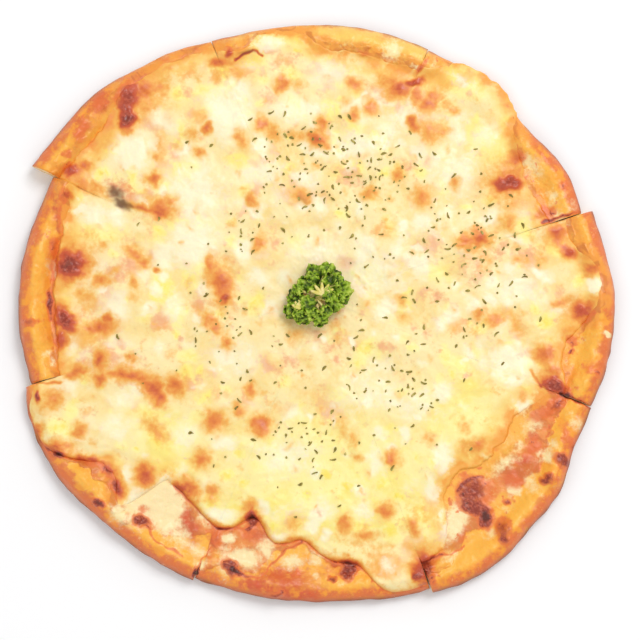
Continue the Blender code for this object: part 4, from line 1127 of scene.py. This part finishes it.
def cheese_finish():
    finish = Finish("melted_cheese", Subsurface_Weight=0.12, Subsurface_Scale=0.0012, Coat_Roughness=0.25)
    finish.shader.inputs["Subsurface Radius"].default_value = (1.0, 0.6, 0.3)
    fine = finish.mottle(1.6 * MM, 3.0)
    small = finish.mottle(4.4 * MM, 3.0, 0.3, 0.4)
    broad = finish.mottle(13.0 * MM, 3.0, 0.7, 0.5)
    wide = finish.mottle(40.0 * MM, 2.0, 1.3)
    grain = (small - 0.5) * 0.9 + (fine - 0.5) * 0.45
    field = finish.fields("lemon milk blush gold sauce brown burnt line edge sunk")
    butter = finish.between(broad * 0.7 + wide * 0.5 + grain * 0.3, 0.48, 0.72)
    milk = finish.between(field["milk"] + grain * 1.0, 0.10, 0.85)
    lemony = finish.between(field["lemon"], 0.05, 0.45)
    lemon = finish.between(field["lemon"] + grain * 0.9, 0.42, 0.95)
    blush = finish.between(field["blush"] + grain * 1.3 + (broad - 0.5) * 0.8, 0.32, 1.0)
    gold = finish.between(field["gold"] + grain * 1.1 + (broad - 0.5) * 0.5, 0.28, 0.90)
    tan = finish.between(fine * 0.45 + small * 0.55, 0.56, 0.70)
    sauce = finish.between(field["sauce"] + grain * 0.8, 0.15, 0.85)
    shore = finish.shore(milk)
    colour = finish.layers(
        finish.mix(lemony, srgb(251, 229, 168), srgb(253, 238, 156)),
        (butter * 0.70, finish.mix(lemony, srgb(246, 210, 122), srgb(249, 226, 106))),
        (lemon * 0.80, srgb(249, 222, 78)),
        (blush * 0.85, srgb(240, 168, 122)),
        (gold * 0.85, srgb(246, 168, 58)),
        (tan * 0.42, srgb(228, 164, 88)),
        (milk * 0.85, srgb(254, 245, 210)),
        (finish.between(shore, 0.10, 0.50) * 0.60, srgb(250, 204, 98)),
        (finish.between(shore, 0.40, 1.00) * 0.90, SHORE_COLOUR),
        (sauce * 0.80, srgb(232, 122, 74)),
    )
    brown = field["brown"]
    near = finish.between(field["edge"] + grain * 0.5, 0.25, 1.0)
    speckle = grain * 0.42 * finish.between(brown, 0.05, 0.35)
    line = field["line"]
    toasted = brown + speckle + near * 0.34 + line * line * 0.85
    colour = finish.ladder(
        colour, toasted,
        (0.08, 0.42, 0.95, srgb(243, 182, 80)),
        (0.28, 0.60, 1.0, srgb(230, 132, 48)),
        (0.52, 0.82, 1.0, srgb(200, 82, 42)),
        (0.80, 1.06, 1.0, finish.charred(fine, small, srgb(148, 46, 20), srgb(206, 98, 66))),
        (1.04, 1.36, 1.0, srgb(82, 24, 8)),
    )
    colour = finish.layers(
        colour,
        (finish.between(field["burnt"] + grain * 0.3, 0.12, 1.10) * 0.92, srgb(98, 58, 20)),
        # painted shade along the sunk edges of the cuts
        (finish.between(field["sunk"], 0.35, 1.0) * 0.5, srgb(210, 144, 80)),
    )
    finish.feed("Base Color", colour)
    glossy = finish.between(broad * 0.5 + small * 0.5, 0.42, 0.62)
    finish.feed("Roughness", 0.54 - glossy * 0.14)
    finish.feed("Coat Weight", 0.05 + glossy * 0.12 + finish.between(brown, 0.5, 0.9) * 0.12)
    finish.bump(fine * 0.4 + small, 0.0005, 0.28)
    return finish.material


def crust_finish():
    finish = Finish("baked_crust", Subsurface_Weight=0.06, Subsurface_Scale=0.0008, Coat_Roughness=0.30)
    fine = finish.mottle(1.2 * MM, 3.0)
    small = finish.mottle(3.6 * MM, 3.0, 0.4, 0.4)
    broad = finish.mottle(12.0 * MM, 3.0, 0.9, 0.5)
    grain = (small - 0.5) * 0.9 + (fine - 0.5) * 0.5
    uneven = broad - 0.5
    field = finish.fields("outward level film milk gold sauce brown line edge shore lemon")
    outward, level = field["outward"], field["level"]
    amber = finish.between(broad * 0.6 + small * 0.4 + grain * 0.3, 0.42, 0.60)
    crown = (1.0 - finish.between(outward, 0.54, 0.76)) * (1.0 - field["film"] * 0.8)
    bright = finish.between(field["lemon"] * 0.4 + crown * 0.6 + grain * 0.8 + uneven * 1.2, 0.15, 0.75)
    sunny = finish.between(field["lemon"] + grain * 0.8 + uneven * 0.6, 0.30, 0.95)
    ruddy = finish.between(outward + uneven * 1.2 + grain * 0.6, 0.58, 0.90)
    gold = finish.between(field["gold"] + grain * 0.9 + uneven * 0.6, 0.25, 0.85)
    creamy = finish.between(field["film"] + grain * 0.9 + uneven * 1.2, 0.55, 1.15)
    milk = finish.between(field["milk"] + grain * 0.9, 0.25, 0.90)
    milk = milk * (1.0 - finish.between(outward, 0.86, 1.0))
    sauce = finish.between(field["sauce"] + grain * 0.9 + uneven * 0.6, 0.2, 0.85)
    flecks = finish.between(fine * 0.55 + small * 0.45, 0.57, 0.68)
    folds = finish.mottle(15.0 * MM, 1.5, 2.1, 0.8) - 0.5
    folded = (1.0 - finish.between(folds * folds, 0.0004, 0.0060)) * finish.between(field["film"], 0.3, 0.9)
    colour = finish.layers(
        srgb(248, 160, 46),
        (amber * 0.85, srgb(232, 122, 40)),
        (field["film"] * 0.80, srgb(224, 100, 40)),
        (bright * 0.75, srgb(254, 194, 70)),
        (ruddy * 0.82, srgb(226, 114, 58)),
        (sunny * 0.85, srgb(252, 208, 102)),
        (creamy * 0.50, srgb(246, 176, 92)),
        (flecks * 0.45, srgb(250, 194, 106)),
        (finish.between(finish.shore(milk), 0.40, 1.00) * 0.90, SHORE_COLOUR),
        (sauce * 0.88, srgb(212, 84, 46)),
        (folded * 0.40, srgb(186, 88, 32)),
        (gold * 0.80, srgb(250, 186, 70)),
        (milk * 0.90, srgb(254, 235, 178)),
    )
    brown = field["brown"]
    speckle = grain * 0.50 * finish.between(brown, 0.05, 0.35)
    rim_spots = finish.between(broad * 0.4 + small * 0.6, 0.56, 0.70) * 0.36
    front = finish.between(field["edge"] + grain * 0.3, 0.55, 1.0)
    line = field["line"]
    toasted = brown + speckle + line * line * 0.85 + front * 0.45 + rim_spots
    # side: the rim's outer wall, darker the lower it lies; partly the browner baked dough, partly painted
    # shade on the wall that faces down and outwards.
    side = 1.0 - finish.between(level + uneven * 0.3 + grain * 0.15, 0.44, 0.90)
    side = side * finish.between(outward, 0.74, 0.92)
    side = side * (1.0 - field["shore"] * finish.between(level, 0.25, 0.55))
    patches = finish.between(broad * 0.5 + small * 0.5, 0.42, 0.6)
    baked = finish.mix(patches, srgb(214, 150, 84), srgb(140, 80, 42))
    colour = finish.ladder(
        colour, toasted,
        (0.30, 0.60, 0.85, srgb(232, 116, 52)),
        (0.62, 1.00, 1.0, finish.charred(fine, small, srgb(148, 50, 24), srgb(210, 104, 72))),
        (1.06, 1.42, 1.0, srgb(92, 30, 14)),
    )
    colour = finish.layers(
        colour,
        # the outer wall's baked brown together with painted shade
        (side * 0.88, srgb(132, 62, 28)),
        (1.0 - finish.between(level, 0.0, 0.04), baked),
    )
    finish.feed("Base Color", colour)
    finish.feed("Roughness", 0.46 + side * 0.22 - finish.between(small, 0.4, 0.65) * 0.08)
    finish.feed("Coat Weight", (1.0 - side) * 0.18)
    finish.bump(fine + small * 0.6, 0.0005, 0.5)
    return finish.material


def crumb_finish():
    """Pale bread inside the crust, seen where a cut lies open."""
    finish = Finish("bread_crumb", Roughness=0.85, Subsurface_Weight=0.1, Subsurface_Scale=0.001)
    pores = finish.mottle(1.4 * MM, 3.0)
    broad = finish.mottle(5.0 * MM, 2.0, 0.5)
    finish.feed("Base Color", finish.layers(
        srgb(252, 226, 176),
        (finish.between(broad, 0.4, 0.65), srgb(246, 206, 144)),
        (finish.between(pores, 0.58, 0.70) * 0.6, srgb(206, 152, 92)),
    ))
    finish.bump(pores, 0.0008, 0.8)
    return finish.material


def herb_finish():
    finish = Finish("dried_herb", Roughness=0.8)
    shade = finish.mottle(2.2 * MM, 2.0)
    finish.feed("Base Color", finish.layers(
        srgb(122, 106, 36),
        (finish.between(shade, 0.36, 0.60), srgb(156, 140, 60)),
        (finish.between(shade, 0.56, 0.72), srgb(196, 178, 104)),
    ))
    finish.bump(finish.mottle(0.5 * MM, 2.0), 0.0002)
    return finish.material


def parsley_finish():
    finish = Finish("parsley_leaf", Roughness=0.45, Subsurface_Weight=0.08, Subsurface_Scale=0.0005)
    shade = finish.mottle(2.4 * MM, 3.0)
    # Painted shade and highlight: the dark green stays in the low troughs, the lighter greens rise with tip,
    # and light is the painted highlight on the raised ruffles.
    tip = finish.field("tip")
    light = finish.between(tip + (shade - 0.5) * 0.7, 0.50, 1.0)
    finish.feed("Base Color", finish.layers(
        srgb(62, 88, 6),
        (finish.between(tip + (shade - 0.5) * 0.5, 0.26, 0.60), srgb(136, 168, 20)),
        (light, srgb(196, 214, 84)),
        (finish.field("rib"), srgb(196, 204, 92)),
    ))
    finish.bump(finish.mottle(0.6 * MM, 2.0), 0.0003)
    return finish.material


def stem_finish():
    finish = Finish("parsley_stem", Roughness=0.45)
    shade = finish.mottle(2.0 * MM, 2.0)
    pale = finish.between(shade, 0.35, 0.65)
    finish.feed("Base Color", finish.mix(pale, srgb(218, 204, 92), srgb(240, 222, 146)))
    finish.bump(finish.mottle(0.5 * MM, 2.0), 0.0002)
    return finish.material


def dress(obj, material, slot, *nodes):
    """Gives a piece its finish, the nodes it stands for and the body it rides on; its slot is not used."""
    if obj.data.materials:
        obj.data.materials[0] = material
    else:
        obj.data.materials.append(material)
    if nodes:
        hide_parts(*nodes)
    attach(obj, "root")
    return obj


# ---------------------------------------------------------------- herbs

def on_open_cheese(place):
    return place.length < FLAKES_REACH and (place - SPRIG_AT).length > SPRIG_CLEAR


def flake_places():
    """Every flake's place off CUT_CENTRE, length and turn, the longest first, none touching another."""
    draw = random.Random(FLAKE_SEED)
    fallen = []
    for x, y, spread_x, spread_y, count in DRIFTS:
        for _ in range(count):
            place = Vector((draw.gauss(x, spread_x), draw.gauss(y, spread_y), 0.0))
            length = draw.uniform(*FLAKE_LENGTH)
            fallen.append((length, place, draw.uniform(0.0, 180.0)))
    fallen.sort(key=lambda flake: -flake[0])
    kept = []
    for length, place, turn in fallen:
        clear = all((place - other).length > FLAKE_SPACING for _, other, _ in kept)
        if clear and on_open_cheese(place):
            kept.append((length, place, turn))
    return kept


def crumb_places():
    """Finer bits of the same herb among the flakes."""
    draw = random.Random(CRUMB_SEED)
    crumbs = []
    for x, y, spread_x, spread_y, count in DRIFTS:
        for _ in range(round(count * CRUMBS_PER_FLAKE)):
            out_x, out_y = draw.gauss(x, spread_x * CRUMB_SPREAD), draw.gauss(y, spread_y * CRUMB_SPREAD)
            place = Vector((out_x, out_y, 0.0))
            length = draw.uniform(*CRUMB_LENGTH)
            if on_open_cheese(place):
                crumbs.append((length, place, draw.uniform(0.0, 180.0)))
    return crumbs


def slice_at(bearing):
    for piece in SLICES:
        if (bearing - piece.start) % 360.0 <= piece.end - piece.start:
            return piece
    return SLICES[0]


def surface_height(x, y):
    """Height of the finished cheese at one place."""
    piece = slice_at(math.degrees(math.atan2(y - CUT_CENTRE[1], x - CUT_CENTRE[0])))
    wedge = WEDGES[piece.name]
    x, y = np.array([x]), np.array([y])
    at, out = wedge.polar(x, y)
    relief = cheese_relief(wedge, at, out, x, y, browning(x, y)) - parting(piece, at, out)[2]
    return float((wedge.cheese_top(at, out) + relief)[0])


def make_flakes(material):
    """Curled chips of dried herb, each one bent and tapered its own way, joined into one piece."""
    select_none()
    bpy.ops.mesh.primitive_cube_add(size=1.0)
    chip = bpy.context.active_object
    for cut in (-0.25, 0.0, 0.25):
        bpy.ops.object.mode_set(mode="EDIT")
        bpy.ops.mesh.select_all(action="SELECT")
        bpy.ops.mesh.bisect(plane_co=(cut, 0.0, 0.0), plane_no=(1.0, 0.0, 0.0))
        bpy.ops.object.mode_set(mode="OBJECT")
    plain = points_of(chip)
    draw = random.Random(BEND_SEED)
    copies = []
    for length, place, turn in flake_places() + crumb_places():
        copy = chip.copy()
        copy.data = chip.data.copy()
        bpy.context.scene.collection.objects.link(copy)
        along = plain[:, 0] * 2.0
        taper = (1.0 - 0.5 * along ** 2) * (1.0 + draw.uniform(-0.5, 0.5) * along)
        nick = 1.0 + draw.uniform(-0.4, 0.4) * np.sin(3.0 * along + draw.uniform(0.0, 6.0))
        width = draw.uniform(*CHIP_WIDTH) * taper * nick
        sideways = draw.uniform(-0.14, 0.14) * length * along ** 2
        arch = draw.uniform(-0.05, 0.16) * length * (0.4 - along ** 2)
        chip_x = plain[:, 0] * length * CHIP_SHORTER
        chip_y = plain[:, 1] * width + sideways
        chip_z = plain[:, 2] * CHIP_THICKNESS + arch + plain[:, 1] * along * draw.uniform(-0.3, 0.3) * MM
        spin = math.radians(turn)
        x, y = CUT_CENTRE[0] + place.x, CUT_CENTRE[1] + place.y
        co = np.stack([
            x + chip_x * math.cos(spin) - chip_y * math.sin(spin),
            y + chip_x * math.sin(spin) + chip_y * math.cos(spin),
            surface_height(x, y) + CHIP_LIFT + chip_z,
        ], axis=1)
        move_points(copy, co)
        copies.append(copy)
    bpy.data.objects.remove(chip)
    return dress(join("herb_flakes", copies), material, "parsley_leaf")


def curly_leaflet(name, radius, phase):
    """A crumpled disc with a tightly ruffled edge."""
    share = np.linspace(0.05, 1.0, LEAF_RINGS)[:, None]
    turn = np.linspace(0.0, 2.0 * math.pi, LEAF_SECTORS + 1)[None, :]
    flat_x, flat_y = share * np.cos(turn), share * np.sin(turn)
    fold = np.cos(LEAF_WAVES * turn + phase)
    crumple = rough(flat_x, flat_y, 0.55, phase) + 0.75 * rough(flat_x, flat_y, 0.26, phase + 40.0)
    lobes = 0.92 + 0.16 * rough(np.cos(turn), np.sin(turn), 0.7, phase + 80.0)
    out = radius * share * lobes * (1.0 - 0.08 * share ** 4 * (1.0 + fold))
    swing = 0.5 / LEAF_WAVES * share ** 4 * np.sin(2.0 * (LEAF_WAVES * turn + phase))
    swing = swing + 0.16 * share * rough(flat_x, flat_y, 0.45, phase + 120.0) * np.sin(turn / 2.0) ** 2
    up = radius * (0.30 * crumple * (0.4 + 0.6 * share) + 0.16 * share ** 5 * fold - 0.30 * share ** 2)
    points = np.stack([out * np.cos(turn + swing), out * np.sin(turn + swing), up], axis=2)
    leaf = grid_of(name, points)
    weld()
    co = points_of(leaf)
    away = np.hypot(co[:, 0], co[:, 1]) / radius
    spoke = 0.5 + 0.5 * np.cos(5.0 * np.arctan2(co[:, 1], co[:, 0]) + phase)
    # tip grows with height: it paints highlight onto the raised ruffles and the outer rim, and shade into
    # the troughs.
    store(leaf, {
        "tip": np.clip(0.40 + 1.1 * (co[:, 2] / radius + 0.30 * away ** 2) + 0.15 * away, 0.0, 1.0),
        "rib": 0.4 * np.clip(1.0 - away / (0.12 + 0.30 * spoke ** 4), 0.0, 1.0),
    })
    thicken = leaf.modifiers.new("thickness", "SOLIDIFY")
    thicken.thickness = LEAF_THICKNESS
    thicken.offset = 0.0
    bpy.context.view_layer.objects.active = leaf
    bpy.ops.object.modifier_apply(modifier=thicken.name)
    bpy.ops.object.shade_smooth()
    return leaf


def tube(name, points, radii, flatness=1.0):
    """A stalk through the points, round or flattened."""
    rings = []
    last = len(points) - 1
    turns = [2.0 * math.pi * corner / STEM_CORNERS for corner in range(STEM_CORNERS)]
    for index, (point, radius) in enumerate(zip(points, radii)):
        along = (points[min(index + 1, last)] - points[max(index - 1, 0)]).normalized()
        side = along.cross(Vector((0.0, 0.0, 1.0))).normalized()
        up = side.cross(along)
        spokes = [side * math.cos(turn) + up * flatness * math.sin(turn) for turn in turns]
        rings.append([point + spoke * radius for spoke in spokes])
    return closed_sweep(name, np.array(rings, float), 80.0)


def aimed(turn, up=0.0):
    """A step of one unit at a bearing in degrees."""
    return Vector((math.cos(math.radians(turn)), math.sin(math.radians(turn)), up))


def arched(start, end, rise):
    """Points from start to end along a low arch."""
    shares = [step / STEM_STEPS for step in range(STEM_STEPS + 1)]
    lifts = [Vector((0.0, 0.0, rise * 4.0 * share * (1.0 - share))) for share in shares]
    return [start.lerp(end, share) + lift for share, lift in zip(shares, lifts)]


def make_sprig(leaf_material, stem_material):
    """A sprig of curly parsley: frilled leaflets close together, with pale stalks showing between them."""
    leaves, stems = [], []
    for number, (x, y, height, radius, lean, toward) in enumerate(LEAFLETS + SMALL_LEAFLETS):
        leaf = curly_leaflet(f"leaflet_{number}", radius, LEAFLET_PHASE * number)
        lean_over = Matrix.Rotation(math.radians(lean), 4, aimed(toward + 90.0))
        spin = Matrix.Rotation(math.radians(LEAFLET_TURN * number), 4, "Z")
        leaf.data.transform(Matrix.Translation((x, y, height)) @ lean_over @ spin)
        leaves.append(leaf)
        points = arched(STEM_JOINT, Vector((x, y, height - STALK_HIDDEN)), STALK_ARCH)
        radii = [STEM_RADIUS * (1.0 - STEM_TAPER * step) for step in range(STEM_STEPS + 1)]
        stems.append(tube(f"stalk_{number}", points, radii))
    thick = [STEM_RADIUS * STALK_THICKER] * (STEM_STEPS + 1)
    stems.append(tube("stalk", arched(STALK_END, STEM_JOINT, 0.0), thick))
    for x, y, height, reach, turns in STEM_STARS:
        for turn in turns:
            middle = Vector((x, y, height))
            points = arched(middle, middle + aimed(turn, -0.1) * reach, STALK_ARCH)
            swell = [0.5 + math.sin(math.pi * (step + 0.4) / 6.8) for step in range(STEM_STEPS + 1)]
            radii = [STAR_RADIUS * share for share in swell]
            stems.append(tube(f"rib_{round(x / MM)}_{turn}", points, radii, STAR_FLATNESS))
    low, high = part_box("parsley")
    leaf_piece, stem_piece = join("parsley_leaves", leaves), join("parsley_stalks", stems)
    lift = low.z - points_of(leaf_piece)[:, 2].min()
    place = Matrix.Translation((CUT_CENTRE[0] + SPRIG_AT.x, CUT_CENTRE[1] + SPRIG_AT.y, lift))
    for piece in (leaf_piece, stem_piece):
        piece.data.transform(place)
    dress(leaf_piece, leaf_material, "parsley_leaf", "parsley")
    dress(stem_piece, stem_material, "parsley_leaf", "parsley")


# ---------------------------------------------------------------- stage

FLOOR_SIZE = 6.0
WORLD_STRENGTH = 0.65
# Area lights: a name, a place, a size and an energy.
LIGHTS = (("key", (0.55, 0.65, 1.35), 0.7, 11.5), ("fill", (-0.9, -0.7, 1.2), 1.4, 3.0))
CAMERA_ELEVATION = 86.0
CAMERA_DISTANCE = 1.25
SENSOR_WIDTH = 36.0
PICTURE_WIDTH = 321.0 * MM
PICTURE_PIXELS = 640.0
MIDDLE_AT = (316.7, 310.9)
AIM_HEIGHT = 6.0 * MM


def make_floor():
    select_none()
    bpy.ops.mesh.primitive_plane_add(size=FLOOR_SIZE)
    floor = bpy.context.active_object
    floor.name = "floor"
    finish = Finish("floor_white", Roughness=0.9)
    shade = finish.mottle(0.4, 1.0)
    finish.feed("Base Color", finish.mix(shade, srgb(250, 250, 251), srgb(254, 254, 254)))
    floor.data.materials.append(finish.material)


def add_area(name, location, size, energy):
    light = bpy.data.lights.new(name, "AREA")
    light.size = size
    light.energy = energy
    lamp = bpy.data.objects.new(name, light)
    bpy.context.scene.collection.objects.link(lamp)
    lamp.location = location
    lamp.rotation_euler = (Vector((0.0, 0.0, 0.0)) - Vector(location)).to_track_quat("-Z", "Y").to_euler()


def make_stage():
    make_floor()
    world = bpy.data.worlds.new("studio")
    bpy.context.scene.world = world
    world.use_nodes = True
    inputs = world.node_tree.nodes["Background"].inputs
    inputs["Color"].default_value = (1.0, 1.0, 1.0, 1.0)
    inputs["Strength"].default_value = WORLD_STRENGTH
    for light in LIGHTS:
        add_area(*light)
    bpy.context.scene.view_settings.view_transform = "Standard"


def make_camera():
    """Looks down on the pizza, whose middle lands at MIDDLE_AT in the picture."""
    camera = bpy.data.cameras.new("camera")
    camera.sensor_width = SENSOR_WIDTH
    camera.lens = SENSOR_WIDTH * CAMERA_DISTANCE / PICTURE_WIDTH
    obj = bpy.data.objects.new("camera", camera)
    bpy.context.scene.collection.objects.link(obj)
    pixel = PICTURE_WIDTH / PICTURE_PIXELS
    half = PICTURE_PIXELS / 2.0
    aim = Vector(((half - MIDDLE_AT[0]) * pixel, (MIDDLE_AT[1] - half) * pixel, AIM_HEIGHT))
    up = math.radians(CAMERA_ELEVATION)
    obj.location = aim + Vector((0.0, -math.cos(up), math.sin(up))) * CAMERA_DISTANCE
    obj.rotation_euler = (math.pi / 2.0 - up, 0.0, 0.0)
    bpy.context.scene.camera = obj


def main():
    make_stage()
    make_camera()
    cheese, crust, crumb = cheese_finish(), crust_finish(), crumb_finish()
    for piece in SLICES:
        dress(make_crust(piece, crumb), crust, "baked_crust", f"dough_{piece.name}")
        dress(make_cheese(piece), cheese, "melted_cheese", f"cheese_{piece.name}")
    make_flakes(herb_finish())
    make_sprig(parsley_finish(), stem_finish())


main()
